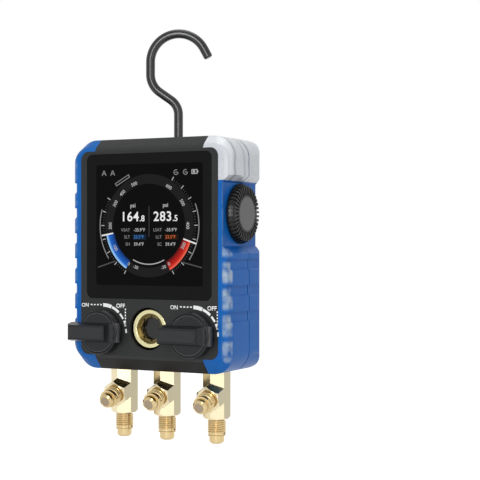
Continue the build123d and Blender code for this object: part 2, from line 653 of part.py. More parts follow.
def case_screws():
    """Six screws from the back, through the seam, into the front posts."""
    length = case_screw_head_y() - SCREW_HEAD_HEIGHT - SEAM_Y + CASE_SCREW_BITE
    places = [(side * CASE_SCREW_X, z) for side in (-1, 1) for z in CASE_SCREW_Z]
    return group([panel_screw(x, z, case_screw_head_y(), length) for x, z in places])


def battery_door():
    """Cover let into the back, with countersunk ears."""
    door = prism(door_profile(DOOR_GAP), BODY_DEPTH - DOOR_THICKNESS, BODY_DEPTH)
    for x, z in door_screw_places():
        door -= rod(x, z, SCREW_RADIUS, 0, BODY_DEPTH + CUT)
        door -= rod(x, z, SCREW_HEAD_RADIUS, BODY_DEPTH - SCREW_HEAD_HEIGHT, BODY_DEPTH + CUT)
    bottom, _ = bay_heights()
    groove = SlotOverall(DOOR_GRIP_LENGTH, DOOR_GRIP_WIDTH)
    for index in range(DOOR_GRIP_COUNT):
        z = bottom + (index + 1) * DOOR_GRIP_PITCH
        door -= prism(Pos(0, z) * groove, BODY_DEPTH - DOOR_GRIP_DEPTH, BODY_DEPTH + CUT)
    return door


def door_screws():
    """Two screws through the door's ears."""
    return group([panel_screw(x, z, BODY_DEPTH, DOOR_SCREW_LENGTH) for x, z in door_screw_places()])


def battery_cells():
    """Three cells side by side, the middle one the other way up."""
    cells = []
    for index in (-1, 0, 1):
        x = index * CELL_PITCH
        low = CELL_BOTTOM + (CELL_NUB if index == 0 else 0.0)
        cell = upright(x, cell_axis_y(), low, low + CELL_LENGTH, CELL_RADIUS)
        nub_low = low - CELL_NUB if index == 0 else low + CELL_LENGTH
        cells.append(cell + upright(x, cell_axis_y(), nub_low, nub_low + CELL_NUB, CELL_NUB_RADIUS))
    return group(cells)


def battery_contacts():
    """Contact strips at both ends of the bay."""
    bottom, top = bay_heights()
    half = bay_half_width()
    front, back = cell_axis_y() - CONTACT_HALF_WIDTH, cell_axis_y() + CONTACT_HALF_WIDTH
    strips = []
    for low, high in ((bottom, CELL_BOTTOM), (top - CONTACT_THICKNESS - BAY_GAP, top)):
        strips.append(block((-half, front, low), (-CELL_RADIUS - CUT, back, high)))
        strips.append(block((-CELL_RADIUS, front, low), (half, back, high)))
    return group(strips)


# ---------------------------------------------------------------- display and boards
def display_lens():
    """Cover of the display, let in flush with the face."""
    profile = rounded(LENS_HALF_WIDTH - LENS_GAP, LENS_BOTTOM + LENS_GAP, LENS_TOP - LENS_GAP, LENS_CORNER)
    return prism(profile, 0, LENS_THICKNESS)


def lcd_panel():
    """Display module with its connector tail below."""
    profile = rounded(LCD_WIDTH / 2, LCD_BOTTOM, LCD_TOP, LCD_CORNER)
    panel = prism(profile, LENS_THICKNESS, DISPLAY_BACK_Y)
    tail_front = DISPLAY_BACK_Y - LCD_TAIL_THICKNESS
    return panel + block((-LCD_TAIL_HALF_WIDTH, tail_front, LCD_BOTTOM - LCD_TAIL_LENGTH),
                         (LCD_TAIL_HALF_WIDTH, DISPLAY_BACK_Y, LCD_BOTTOM))


def mid_frame():
    """Plastic frame behind the display that carries the main board."""
    half_width = INNER_WALL_X - FRAME_SIDE_GAP
    outline = rounded(half_width, LCD_BOTTOM - FRAME_MARGIN, LCD_TOP + FRAME_MARGIN, FRAME_CORNER)
    window = rounded(LCD_WIDTH / 2 - FRAME_RAIL, LCD_BOTTOM + FRAME_RAIL, LCD_TOP - FRAME_RAIL, FRAME_CORNER)
    frame = prism(outline - window, DISPLAY_BACK_Y, FRAME_BACK_Y)
    for side in (-1, 1):
        for z in CASE_SCREW_Z:
            frame -= rod(side * CASE_SCREW_X, z, CASE_POST_RADIUS + BAY_GAP, 0, BODY_DEPTH)
            edge = block((CASE_SCREW_X, 0, z - CASE_POST_RADIUS - BAY_GAP),
                         (half_width + CUT, BODY_DEPTH, z + CASE_POST_RADIUS + BAY_GAP))
            frame -= edge if side > 0 else mirror(edge, about=Plane.YZ)
        for z in FRAME_SCREW_Z:
            frame -= rod(side * FRAME_SCREW_X, z, SCREW_RADIUS, 0, BODY_DEPTH)
        for z in board_screw_heights():
            frame -= rod(side * BOARD_SCREW_X, z, SCREW_RADIUS, 0, BODY_DEPTH)
    return frame


def frame_screws():
    """Four screws that hold the mid frame on the posts of the front half."""
    places = [(side * FRAME_SCREW_X, z) for side in (-1, 1) for z in FRAME_SCREW_Z]
    return group([panel_screw(x, z, FRAME_BACK_Y + SCREW_HEAD_HEIGHT, FRAME_SCREW_LENGTH) for x, z in places])


def board_screw_heights():
    """Heights of the lower and the upper pair of board screws."""
    return BOARD_BOTTOM + BOARD_SCREW_MARGIN, BOARD_TOP - BOARD_SCREW_MARGIN


def main_board():
    """Circuit board on the back of the mid frame."""
    board = block((-BOARD_HALF_WIDTH, FRAME_BACK_Y, BOARD_BOTTOM), (BOARD_HALF_WIDTH, BOARD_BACK_Y, BOARD_TOP))
    for side in (-1, 1):
        for z in board_screw_heights():
            board -= rod(side * BOARD_SCREW_X, z, SCREW_RADIUS, 0, BODY_DEPTH)
    return board


def board_parts():
    """Processor, memory, two connectors, a socket and a buzzer on the back of the main board."""
    seat = BOARD_BACK_Y
    chip_z = LCD_CENTRE_Z
    chip_back = seat + CHIP_THICKNESS
    memory_x = PROCESSOR_SIZE / 2 + CHIP_SPACING
    plug_z = BOARD_BOTTOM + CONNECTOR_RISE
    plug_back = seat + CONNECTOR_THICKNESS
    plug_end = CONNECTOR_SPACING + CONNECTOR_WIDTH
    pieces = [
        block((-PROCESSOR_SIZE / 2, seat, chip_z), (PROCESSOR_SIZE / 2, chip_back, chip_z + PROCESSOR_SIZE)),
        block((memory_x, seat, chip_z), (memory_x + MEMORY_WIDTH, chip_back, chip_z + MEMORY_HEIGHT)),
        block((-plug_end, seat, plug_z), (-CONNECTOR_SPACING, plug_back, plug_z + CONNECTOR_HEIGHT)),
        block((CONNECTOR_SPACING, seat, plug_z), (plug_end, plug_back, plug_z + CONNECTOR_HEIGHT)),
        block((BOARD_HALF_WIDTH - SOCKET_WIDTH, seat, chip_z),
              (BOARD_HALF_WIDTH, plug_back, chip_z + SOCKET_HEIGHT)),
        rod(-memory_x - BUZZER_RADIUS, chip_z + 2 * BUZZER_RADIUS, BUZZER_RADIUS, seat, seat + BUZZER_HEIGHT),
    ]
    return group(pieces)


def board_screws():
    """Four screws through the board into the mid frame."""
    places = [(side * BOARD_SCREW_X, z) for side in (-1, 1) for z in board_screw_heights()]
    return group([panel_screw(x, z, BOARD_BACK_Y + SCREW_HEAD_HEIGHT, BOARD_SCREW_LENGTH) for x, z in places])


# ---------------------------------------------------------------- manifold block
def manifold_block():
    """Forged block with the two valve chambers, the sight chamber and the drilled galleries."""
    body = block((BLOCK_LEFT, BLOCK_FRONT, BLOCK_BOTTOM), (BLOCK_RIGHT, BLOCK_BACK, BLOCK_TOP))
    body = chamfer(body.edges().filter_by(Axis.Y), BLOCK_EDGE)
    chamber_end = BLOCK_FRONT + CHAMBER_DEPTH
    for side in (-1, 1):
        x = side * VALVE_X
        body -= rod(x, VALVE_Z, PISTON_RADIUS + RUNNING_GAP, BLOCK_FRONT - CUT, chamber_end)
        body -= rod(x, VALVE_Z, BONNET_THREAD_RADIUS, BLOCK_FRONT - CUT, BLOCK_FRONT + BONNET_THREAD_LENGTH)
        tapped = BLOCK_TOP + SENSOR_SEAL_THICKNESS - SENSOR_THREAD_LENGTH
        body -= upright(side * SENSOR_X, PORT_Y, tapped, BLOCK_TOP + CUT, SENSOR_THREAD_RADIUS)
        for z in BLOCK_SCREW_Z:
            body -= rod(side * BLOCK_SCREW_X, z, SCREW_RADIUS, BLOCK_FRONT - CUT, BLOCK_BACK + CUT)
    body -= rod(0, SIGHT_Z, SIGHT_RING_BORE, BLOCK_FRONT - CUT, chamber_end)
    across = Plane(origin=(-VALVE_X, PORT_Y, VALVE_Z), x_dir=(0, 1, 0), z_dir=(1, 0, 0))
    body -= extrude(across * Circle(GALLERY_RADIUS), 2 * VALVE_X)
    for x in PORT_X:
        body -= upright(x, PORT_Y, BLOCK_BOTTOM - CUT, BLOCK_BOTTOM + PORT_SPIGOT_LENGTH, PORT_SPIGOT_RADIUS)
        body -= upright(x, PORT_Y, BLOCK_BOTTOM, VALVE_Z, GALLERY_RADIUS)
    return body


def block_screws():
    """Four long screws through the block into the posts of the front half."""
    length = BLOCK_BACK - BLOCK_FRONT + BLOCK_SCREW_BITE
    places = [(side * BLOCK_SCREW_X, z) for side in (-1, 1) for z in BLOCK_SCREW_Z]
    return group([panel_screw(x, z, BLOCK_BACK + SCREW_HEAD_HEIGHT, length) for x, z in places])


def pressure_sensor(side):
    """Screwed pressure sensor: threaded stem, hexagon and can with three pins."""
    x = side * SENSOR_X
    seat = BLOCK_TOP + SENSOR_SEAL_THICKNESS
    top = seat + SENSOR_HEIGHT
    sensor = upright(x, PORT_Y, seat - SENSOR_THREAD_LENGTH, seat, SENSOR_THREAD_RADIUS)
    sensor += extrude(Pos(x, PORT_Y, seat) * hexagon(2 * SENSOR_RADIUS), SENSOR_HEX_HEIGHT)
    sensor += upright(x, PORT_Y, seat + SENSOR_HEX_HEIGHT, top, SENSOR_RADIUS - BOND)
    for index in (-1, 0, 1):
        pin_x = x + index * SENSOR_PIN_PITCH
        sensor += upright(pin_x, PORT_Y, top, top + SENSOR_PIN_LENGTH, SENSOR_PIN_RADIUS)
    return sensor


def sensor_seals():
    """Flat ring under the hexagon of each sensor."""
    ring = Circle(SENSOR_RADIUS - BOND) - Circle(SENSOR_THREAD_RADIUS)
    places = [Pos(side * SENSOR_X, PORT_Y, BLOCK_TOP) for side in (-1, 1)]
    return group([extrude(place * ring, SENSOR_SEAL_THICKNESS) for place in places])


# ---------------------------------------------------------------- valves
def valve_bonnet(side):
    """Hexagon gland that is screwed into the block and guides the stem."""
    x = side * VALVE_X
    head_front = BLOCK_FRONT - BONNET_HEAD
    bonnet = prism(Pos(x, VALVE_Z) * hexagon(BONNET_FLATS), head_front, BLOCK_FRONT)
    bonnet &= rod(x, VALVE_Z, BONNET_FLATS / math.sqrt(3) - BONNET_TURNED_EDGE, head_front, BLOCK_FRONT)
    bonnet += rod(x, VALVE_Z, BONNET_THREAD_RADIUS, BLOCK_FRONT, BLOCK_FRONT + BONNET_THREAD_LENGTH)
    bonnet -= rod(x, VALVE_Z, STEM_RADIUS + RUNNING_GAP, 0, BODY_DEPTH)
    return bonnet - seal_groove(x)


def seal_groove(x):
    """Room for the stem seal in the bonnet's head."""
    middle = BLOCK_FRONT - BONNET_HEAD / 2
    half = SEAL_GROOVE_WIDTH / 2
    return tube(x, VALVE_Z, STEM_RADIUS + SEAL_GROOVE_DEPTH, STEM_RADIUS, middle - half, middle + half)


def stem_seal(side):
    """Ring in the bonnet's groove, round the stem."""
    middle = BLOCK_FRONT - BONNET_HEAD / 2
    inner = STEM_RADIUS + RUNNING_GAP
    half = SEAL_WIDTH / 2
    return tube(side * VALVE_X, VALVE_Z, STEM_RADIUS + SEAL_GROOVE_DEPTH, inner, middle - half, middle + half)


def stem_front():
    """Front end of the stem inside the handle."""
    return -(HANDLE_GAP + HANDLE_BASE_HEIGHT + STEM_IN_LEVER)


def valve_stem(side):
    """Quarter-turn stem: shank, piston and a flat for the handle."""
    x = side * VALVE_X
    piston_front = BLOCK_FRONT + BONNET_THREAD_LENGTH + PISTON_START
    stem = rod(x, VALVE_Z, STEM_RADIUS, stem_front(), piston_front)
    stem += rod(x, VALVE_Z, PISTON_RADIUS, piston_front, BLOCK_FRONT + PISTON_END)
    groove = BLOCK_FRONT + PISTON_GROOVE
    half = SEAL_GROOVE_WIDTH / 2
    stem -= tube(x, VALVE_Z, PISTON_RADIUS + CUT, PISTON_RADIUS - CUT, groove - half, groove + half)
    stem -= drive_flat(x)
    return stem - rod(x, VALVE_Z, SCREW_RADIUS, stem_front() - CUT, stem_front() + STEM_TAP_DEPTH)


def drive_flat(x):
    """Flat on the stem's front end that the handle is keyed to."""
    return block((x - STEM_RADIUS, stem_front() - CUT, VALVE_Z + STEM_RADIUS - STEM_FLAT),
                 (x + STEM_RADIUS, -HANDLE_GAP, VALVE_Z + STEM_RADIUS + CUT))


def lever_bar(x):
    """Tapered lever: long flat end to the left, short end that falls away to the right."""
    front = -HANDLE_FRONT
    base = -(HANDLE_GAP + HANDLE_BASE_HEIGHT)
    under = -HANDLE_UNDERCUT
    plan = Plane(origin=(x, 0, VALVE_Z - HANDLE_HALF_HEIGHT), x_dir=(1, 0, 0), z_dir=(0, 0, 1))
    corner = HANDLE_CORNER
    nose_top = base + HANDLE_NOSE_LIFT
    fall = HANDLE_NOSE - HANDLE_FLAT_END
    path = (
        Line((-HANDLE_REACH, under), (-HANDLE_REACH, front + corner)),
        RadiusArc((-HANDLE_REACH, front + corner), (-HANDLE_REACH + corner, front), corner),
        Line((-HANDLE_REACH + corner, front), (HANDLE_FLAT_END, front)),
        RadiusArc((HANDLE_FLAT_END, front), (HANDLE_NOSE, nose_top), 1.25 * fall),
        Line((HANDLE_NOSE, nose_top), (HANDLE_NOSE, under)),
        Line((HANDLE_NOSE, under), (-HANDLE_REACH, under)),
    )
    bar = extrude(plan * make_face(Curve() + list(path)), 2 * HANDLE_HALF_HEIGHT)
    end = Plane(origin=(x - HANDLE_REACH - 1, 0, VALVE_Z), x_dir=(0, 1, 0), z_dir=(1, 0, 0))
    taper = make_face(Polyline(
        (front, -HANDLE_TOP_HALF_HEIGHT), (front, HANDLE_TOP_HALF_HEIGHT),
        (base, HANDLE_HALF_HEIGHT), (0, HANDLE_HALF_HEIGHT),
        (0, -HANDLE_HALF_HEIGHT), (base, -HANDLE_HALF_HEIGHT), close=True))
    return bar & extrude(end * taper, HANDLE_REACH + HANDLE_NOSE + 2)


def label_profile(x, gap=0.0):
    """Front view of the plate in the lever of the valve at x."""
    centre = x - HANDLE_REACH + LABEL_LENGTH / 2 + LABEL_MARGIN
    size = (LABEL_LENGTH - 2 * gap, LABEL_HEIGHT - 2 * gap)
    return Pos(centre, VALVE_Z) * RectangleRounded(*size, LABEL_CORNER - gap)


def valve_handle(side):
    """Round base with a lever bar across it, bored for the stem and let in for its label plate."""
    x = side * VALVE_X
    base_front = -(HANDLE_GAP + HANDLE_BASE_HEIGHT)
    base = rod(x, VALVE_Z, HANDLE_BASE_RADIUS, base_front, -HANDLE_GAP)
    base = fillet(base.edges().group_by(Axis.Y)[0], HANDLE_BASE_ROUND)
    handle = base + lever_bar(x)
    bore = rod(x, VALVE_Z, STEM_RADIUS, stem_front(), 0) - drive_flat(x)
    handle -= bore
    handle -= rod(x, VALVE_Z, SCREW_RADIUS, -HANDLE_FRONT, 0)
    handle -= rod(x, VALVE_Z, SCREW_HEAD_RADIUS + DOOR_GAP, -HANDLE_FRONT - CUT, handle_screw_seat())
    return handle - prism(label_profile(x), -HANDLE_FRONT - CUT, -HANDLE_FRONT + LABEL_THICKNESS)


def handle_screw_seat():
    """Depth of the shoulder under the head of the handle's screw."""
    return stem_front() - HANDLE_SCREW_BRIDGE


def handle_screw(side):
    """Screw that holds the handle on its stem, under the label plate."""
    x = side * VALVE_X
    seat = handle_screw_seat()
    screw = rod(x, VALVE_Z, SCREW_HEAD_RADIUS, seat - SCREW_HEAD_HEIGHT, seat)
    screw += rod(x, VALVE_Z, SCREW_RADIUS, seat, stem_front() + HANDLE_SCREW_BITE)
    top = seat - SCREW_HEAD_HEIGHT
    socket = Pos(x, VALVE_Z) * RegularPolygon(SCREW_SOCKET_RADIUS, 6)
    return screw - prism(socket, top - CUT, top + SOCKET_DEPTH)


def handle_label(side):
    """Plain plate let into the front of the lever."""
    return prism(label_profile(side * VALVE_X, LABEL_GAP), -HANDLE_FRONT, -HANDLE_FRONT + LABEL_THICKNESS)


# ---------------------------------------------------------------- sight glass
def sight_barrel():
    """Brass barrel screwed to the block, seen round the glass."""
    barrel = tube(0, SIGHT_Z, SIGHT_RADIUS, SIGHT_BORE_RADIUS, SIGHT_FACE_Y, BLOCK_FRONT)
    barrel = chamfer(barrel.edges().group_by(Axis.Y)[0], BOND)
    seat = tube(0, SIGHT_Z, SIGHT_BORE_RADIUS, SIGHT_RING_BORE, BLOCK_FRONT - SIGHT_SEAT, BLOCK_FRONT)
    return barrel + seat


def sight_glass_front():
    """Depth of the front of the glass, behind its ring."""
    return SIGHT_FACE_Y + SIGHT_RING_DEPTH + SIGHT_RING_THICKNESS


def sight_ring():
    """Castellated ring that holds the glass down; a pin spanner turns it by its notches."""
    front = SIGHT_FACE_Y + SIGHT_RING_DEPTH
    ring = tube(0, SIGHT_Z, SIGHT_BORE_RADIUS, SIGHT_RING_BORE, front, front + SIGHT_RING_THICKNESS)
    reach = SIGHT_BORE_RADIUS - SIGHT_RING_BORE
    for index in range(SIGHT_NOTCHES):
        angle = 360 / SIGHT_NOTCHES * index
        notch = Rot(0, 0, angle) * Pos(SIGHT_RING_BORE, 0) * Rectangle(reach, SIGHT_NOTCH_WIDTH)
        ring -= prism(Pos(0, SIGHT_Z) * notch, front - CUT, front + SIGHT_RING_THICKNESS / 2)
    return ring


def sight_glass():
    """Thick round glass over the sight chamber."""
    front = sight_glass_front()
    return rod(0, SIGHT_Z, SIGHT_BORE_RADIUS - SIGHT_GLASS_GAP, front, front + SIGHT_GLASS_THICKNESS)


def sight_seal():
    """Ring between the glass and the barrel's inner flange."""
    front = sight_glass_front() + SIGHT_GLASS_THICKNESS
    outer = SIGHT_BORE_RADIUS - SIGHT_GLASS_GAP
    return tube(0, SIGHT_Z, outer, SIGHT_RING_BORE, front, BLOCK_FRONT - SIGHT_SEAT)


# ---------------------------------------------------------------- hose ports
def hex_bar(length):
    """Hexagon bar along +Z from the origin, with a turned chamfer at its far end."""
    bar = extrude(hexagon(HEX_FLATS), length)
    turned = chamfer(Cylinder(HEX_RADIUS, length).edges().group_by(Axis.Z)[-1], HEX_EDGE)
    return bar & Pos(0, 0, length / 2) * turned


def flare_end(thread_length, nose_length):
    """Threaded end with its flare nose, along +Z from the origin."""
    stub = Pos(0, 0, thread_length / 2) * Cylinder(FLARE_THREAD_RADIUS, thread_length)
    nose = Pos(0, 0, nose_length / 2) * Cylinder(FLARE_NOSE_RADIUS, nose_length)
    nose = chamfer(nose.edges().group_by(Axis.Z)[-1], FLARE_NOSE_CHAMFER)
    return stub + Pos(0, 0, thread_length) * nose


def hose_port(x):
    """Port: hexagon bar down from the block, flare thread below, parking arm to the front."""
    down = Rot(180, 0, 0)
    bar_length = BLOCK_BOTTOM - HEX_END_Z
    port = Pos(0, 0, BLOCK_BOTTOM) * down * hex_bar(bar_length)
    port += Pos(0, 0, HEX_END_Z) * down * flare_end(FLARE_THREAD_LENGTH, FLARE_NOSE_LENGTH)
    spigot_top = BLOCK_BOTTOM + PORT_SPIGOT_LENGTH - PORT_SPIGOT_END_GAP
    port += upright(0, 0, BLOCK_BOTTOM, spigot_top, PORT_SPIGOT_RADIUS)
    arm_axis = Pos(0, 0, ARM_JOINT_Z) * Rot(90 + ARM_ANGLE, 0, 0)
    arm = hex_bar(ARM_LENGTH) + Pos(0, 0, ARM_LENGTH) * flare_end(ARM_THREAD_LENGTH, ARM_NOSE_LENGTH)
    port += arm_axis * arm
    tip = HEX_END_Z - FLARE_THREAD_LENGTH - FLARE_NOSE_LENGTH
    port -= upright(0, 0, tip - CUT, BLOCK_BOTTOM + PORT_SPIGOT_LENGTH, GALLERY_RADIUS)
    return Pos(x, PORT_Y, 0) * port


# ---------------------------------------------------------------- side knob
def encoder_body():
    """Rotary push encoder: square can with its threaded bush through the wall."""
    half = ENCODER_SIZE / 2
    can = block((ENCODER_BACK_X, KNOB_Y - half, KNOB_Z - half), (INNER_WALL_X, KNOB_Y + half, KNOB_Z + half))
    can += side_rod(INNER_WALL_X, ENCODER_BUSH_END_X, ENCODER_BUSH_RADIUS)
    room_start = ENCODER_BACK_X + ENCODER_WALL
    can -= side_rod(room_start, INNER_WALL_X - ENCODER_FRONT_WALL, ENCODER_ROOM_RADIUS)
    return can - side_rod(room_start, ENCODER_BUSH_END_X + CUT, ENCODER_SHAFT_RADIUS + RUNNING_GAP)


def encoder_nut():
    """Nut that clamps the encoder to the pad."""
    plane = Plane(origin=(FACE_HALF_WIDTH, KNOB_Y, KNOB_Z), x_dir=(0, 1, 0), z_dir=(1, 0, 0))
    nut = extrude(plane * hexagon(ENCODER_NUT_FLATS), ENCODER_NUT_HEIGHT)
    return nut - side_rod(FACE_HALF_WIDTH - CUT, KNOB_FACE_X, ENCODER_BUSH_RADIUS)


def plunger_front_x():
    """Where the plunger meets the shaft."""
    return ENCODER_BACK_X + ENCODER_WALL + KNOB_TRAVEL + PLUNGER_END_GAP + PLUNGER_THICKNESS


def encoder_plunger():
    """Push contact behind the shaft; it slides inside the can."""
    return side_rod(plunger_front_x() - PLUNGER_THICKNESS, plunger_front_x(), PLUNGER_RADIUS)


def encoder_shaft():
    """Shaft with a collar behind the bush; the knob is pressed on its end."""
    shaft = side_rod(plunger_front_x(), KNOB_FACE_X - KNOB_DISC_THICKNESS, ENCODER_SHAFT_RADIUS)
    return shaft + side_rod(plunger_front_x(), plunger_front_x() + SHAFT_COLLAR_LENGTH, SHAFT_COLLAR_RADIUS)


def side_knob():
    """Toothed knob: each groove runs up the side and in across the face."""
    plane = Plane(origin=(0, KNOB_Y, KNOB_Z), x_dir=(1, 0, 0), z_dir=(0, 0, 1))
    axis = Axis((0, KNOB_Y, KNOB_Z), (1, 0, 0))
    edge = KNOB_EDGE
    flange_x = KNOB_BACK_X + KNOB_FLANGE
    inner_x = KNOB_FACE_X - KNOB_TOP_THICKNESS
    rim = KNOB_BACK_RADIUS - KNOB_RIM
    outline = make_face(Polyline(
        (KNOB_BACK_X, rim), (KNOB_BACK_X, KNOB_BACK_RADIUS), (flange_x, KNOB_BACK_RADIUS),
        (KNOB_FACE_X - edge, KNOB_FACE_RADIUS), (KNOB_FACE_X, KNOB_FACE_RADIUS - edge),
        (KNOB_FACE_X, KNOB_DISC_RADIUS), (KNOB_FACE_X - KNOB_DISC_THICKNESS, KNOB_DISC_RADIUS),
        (KNOB_FACE_X - KNOB_DISC_THICKNESS, ENCODER_SHAFT_RADIUS),
        (inner_x - KNOB_HUB_LENGTH, ENCODER_SHAFT_RADIUS), (inner_x - KNOB_HUB_LENGTH, KNOB_HUB_RADIUS),
        (inner_x, KNOB_HUB_RADIUS), (inner_x, rim), close=True))
    knob = revolve(plane * outline, axis)
    groove_start = KNOB_DISC_RADIUS + KNOB_GROOVE_START
    side_floor = KNOB_FACE_RADIUS - KNOB_GROOVE_DEPTH
    face_floor = KNOB_FACE_X - KNOB_GROOVE_DEPTH
    groove_face = make_face(Polyline(
        (KNOB_FACE_X + CUT, groove_start), (face_floor, groove_start),
        (face_floor, side_floor - KNOB_GROOVE_CORNER), (face_floor - KNOB_GROOVE_CORNER, side_floor),
        (flange_x, side_floor + KNOB_GROOVE_RISE), (flange_x, KNOB_BACK_RADIUS + CUT),
        (KNOB_FACE_X + CUT, KNOB_BACK_RADIUS + CUT), close=True))
    groove = extrude(plane * groove_face, KNOB_GROOVE_WIDTH / 2, both=True)
    step = 360 / KNOB_TEETH
    grooves = [groove.rotate(axis, index * step) for index in range(KNOB_TEETH)]
    return knob - grooves


def knob_disc():
    """Plain disc let into the face of the knob."""
    return side_rod(KNOB_FACE_X - KNOB_DISC_THICKNESS, KNOB_FACE_X, KNOB_DISC_RADIUS)


# ---------------------------------------------------------------- hook
def hook_plane():
    """Upright plane through the shank that the hook is bent in."""
    turn = math.radians(HOOK_TURN)
    return Plane(origin=(0, HOOK_Y, 0), x_dir=(math.cos(turn), math.sin(turn), 0),
                 z_dir=(math.sin(turn), -math.cos(turn), 0))


def hook_route():
    """Centre line of the hook, from its foot in the housing to its tip, in the hook's plane."""
    bend = math.radians(HOOK_BEND_ANGLE)
    shank = Line((0, HOOK_FOOT_Z), (0, HOOK_BEND_Z))
    lean = JernArc(shank @ 1, shank % 1, HOOK_BEND_RADIUS, HOOK_BEND_ANGLE)
    lower_start_x = HOOK_BOW_LEFT + HOOK_LOWER_RADIUS * (1 - math.cos(bend))
    run = ((lean @ 1).X - lower_start_x) / math.sin(bend)
    slope = PolarLine(lean @ 1, run, 90 + HOOK_BEND_ANGLE)
    lower = JernArc(slope @ 1, slope % 1, HOOK_LOWER_RADIUS, -HOOK_BEND_ANGLE)
    rise = PolarLine(lower @ 1, HOOK_BOW_STRAIGHT, 90)
    bow = JernArc(rise @ 1, rise % 1, HOOK_BOW_RADIUS, -HOOK_BOW_SWEEP)
    tip = PolarLine(bow @ 1, HOOK_TIP_LENGTH, 90 - HOOK_BOW_SWEEP)
    return [shank, lean, slope, lower, rise, bow, tip]


def hook_seat_z():
    """Height of the inside of the bow at its top, where the hook rests on what it hangs from."""
    bow = hook_route()[5]
    return bow.bounding_box().max.Y - HOOK_RADIUS


def hook_rod():
    """Bent rod with a clip groove near its foot."""
    route = hook_plane() * (Curve() + hook_route())
    start = Plane(origin=(0, HOOK_Y, HOOK_FOOT_Z), z_dir=(0, 0, 1))
    rod_solid = sweep(start * Circle(HOOK_RADIUS), path=route)
    ends = rod_solid.faces().filter_by(GeomType.PLANE).edges()
    rod_solid = chamfer(ends, HOOK_END_CHAMFER)
    top = clip_top_z()
    ring = Pos(0, HOOK_Y, top - HOOK_CLIP_THICKNESS) * (
        Circle(HOOK_RADIUS + CUT) - Circle(HOOK_RADIUS - HOOK_CLIP_DEPTH))
    return rod_solid - extrude(ring, HOOK_CLIP_THICKNESS)


def clip_top_z():
    """Upper face of the clip, under the washer."""
    return HOOK_BUSH_BOTTOM - RUNNING_GAP - HOOK_WASHER_THICKNESS


def hook_bush():
    """Plain bearing of the shank in the top of the housing."""
    outer = HOOK_RADIUS + RUNNING_GAP + HOOK_BUSH_WALL
    return upright(0, HOOK_Y, HOOK_BUSH_BOTTOM, BODY_HEIGHT, outer) - upright(
        0, HOOK_Y, HOOK_BUSH_BOTTOM - CUT, BODY_HEIGHT + CUT, HOOK_RADIUS + RUNNING_GAP)


def hook_washer():
    """Washer between the clip and the bush."""
    top = HOOK_BUSH_BOTTOM - RUNNING_GAP
    return upright(0, HOOK_Y, clip_top_z(), top, HOOK_RADIUS + HOOK_WASHER_WIDTH) - upright(
        0, HOOK_Y, clip_top_z() - CUT, top + CUT, HOOK_RADIUS)


def hook_clip():
    """Open retaining clip in the rod's groove."""
    top = clip_top_z()
    inner = HOOK_RADIUS - HOOK_CLIP_DEPTH
    outer = HOOK_RADIUS + HOOK_CLIP_WIDTH
    bottom = top - HOOK_CLIP_THICKNESS
    ring = upright(0, HOOK_Y, bottom, top, outer) - upright(0, HOOK_Y, bottom - CUT, top + CUT, inner)
    mouth = 0.8 * inner
    return ring - block((0, HOOK_Y - mouth, bottom - CUT), (outer + CUT, HOOK_Y + mouth, top + CUT))


# ---------------------------------------------------------------- assembly
def build_nodes():
    """Every node of the assembly by name, in body coordinates."""
    envelope = housing_envelope()
    left, right, cap = rubber_grips(envelope)
    front_left, rear_left = halves(left)
    front_right, rear_right = halves(right)
    front_cap, rear_cap = halves(cap)
    nodes = {
        "front_shell": front_shell(envelope),
        "back_shell": back_shell(envelope),
        "seam_gasket": gasket_ring(),
        "case_screws": case_screws(),
        "front_left_grip": front_left,
        "rear_left_grip": rear_left,
        "front_right_grip": front_right,
        "rear_right_grip": rear_right,
        "front_corner_cap": front_cap,
        "rear_corner_cap": rear_cap,
        "display_lens": display_lens(),
        "lcd_panel": lcd_panel(),
        "mid_frame": mid_frame(),
        "frame_screws": frame_screws(),
        "main_board": main_board(),
        "board_parts": board_parts(),
        "board_screws": board_screws(),
        "battery_cells": battery_cells(),
        "battery_contacts": battery_contacts(),
        "battery_door": battery_door(),
        "door_screws": door_screws(),
        "manifold_block": manifold_block(),
        "block_screws": block_screws(),
        "low_sensor": pressure_sensor(-1),
        "high_sensor": pressure_sensor(1),
        "sensor_seals": sensor_seals(),
        "valve_bonnets": group([valve_bonnet(-1), valve_bonnet(1)]),
        "stem_seals": group([stem_seal(-1), stem_seal(1)]),
        "sight_barrel": sight_barrel(),
        "sight_ring": sight_ring(),
        "sight_glass": sight_glass(),
        "sight_seal": sight_seal(),
        "low_port": hose_port(PORT_X[0]),
        "common_port": hose_port(PORT_X[1]),
        "high_port": hose_port(PORT_X[2]),
        "encoder_body": encoder_body(),
        "encoder_nut": encoder_nut(),
        "encoder_plunger": encoder_plunger(),
        "encoder_shaft": encoder_shaft(),
        "side_knob": side_knob(),
        "knob_disc": knob_disc(),
        "hook_rod": hook_rod(),
        "hook_bush": hook_bush(),
        "hook_washer": hook_washer(),
        "hook_clip": hook_clip(),
    }
    for name, side in (("low", -1), ("high", 1)):
        nodes[f"{name}_stem"] = valve_stem(side)
        nodes[f"{name}_handle"] = valve_handle(side)
        nodes[f"{name}_handle_screw"] = handle_screw(side)
        nodes[f"{name}_handle_label"] = handle_label(side)
    return nodes


def main():
    os.makedirs(PARTS_FOLDER, exist_ok=True)
    to_hook_seat = Pos(0, -HOOK_Y, -hook_seat_z())
    for name, solid in build_nodes().items():
        export_step(to_hook_seat * solid, os.path.join(PARTS_FOLDER, name + ".step"))
    print("hook seat at", HOOK_Y, round(hook_seat_z(), 3))


main()
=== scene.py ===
"""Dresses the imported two-valve manifold gauge: camera, studio, finishes and fine pieces."""

import json
import logging
import math
from collections.abc import Callable, Iterable
from dataclasses import dataclass
from enum import Enum

import bmesh
import bpy
from mathutils import Matrix, Vector

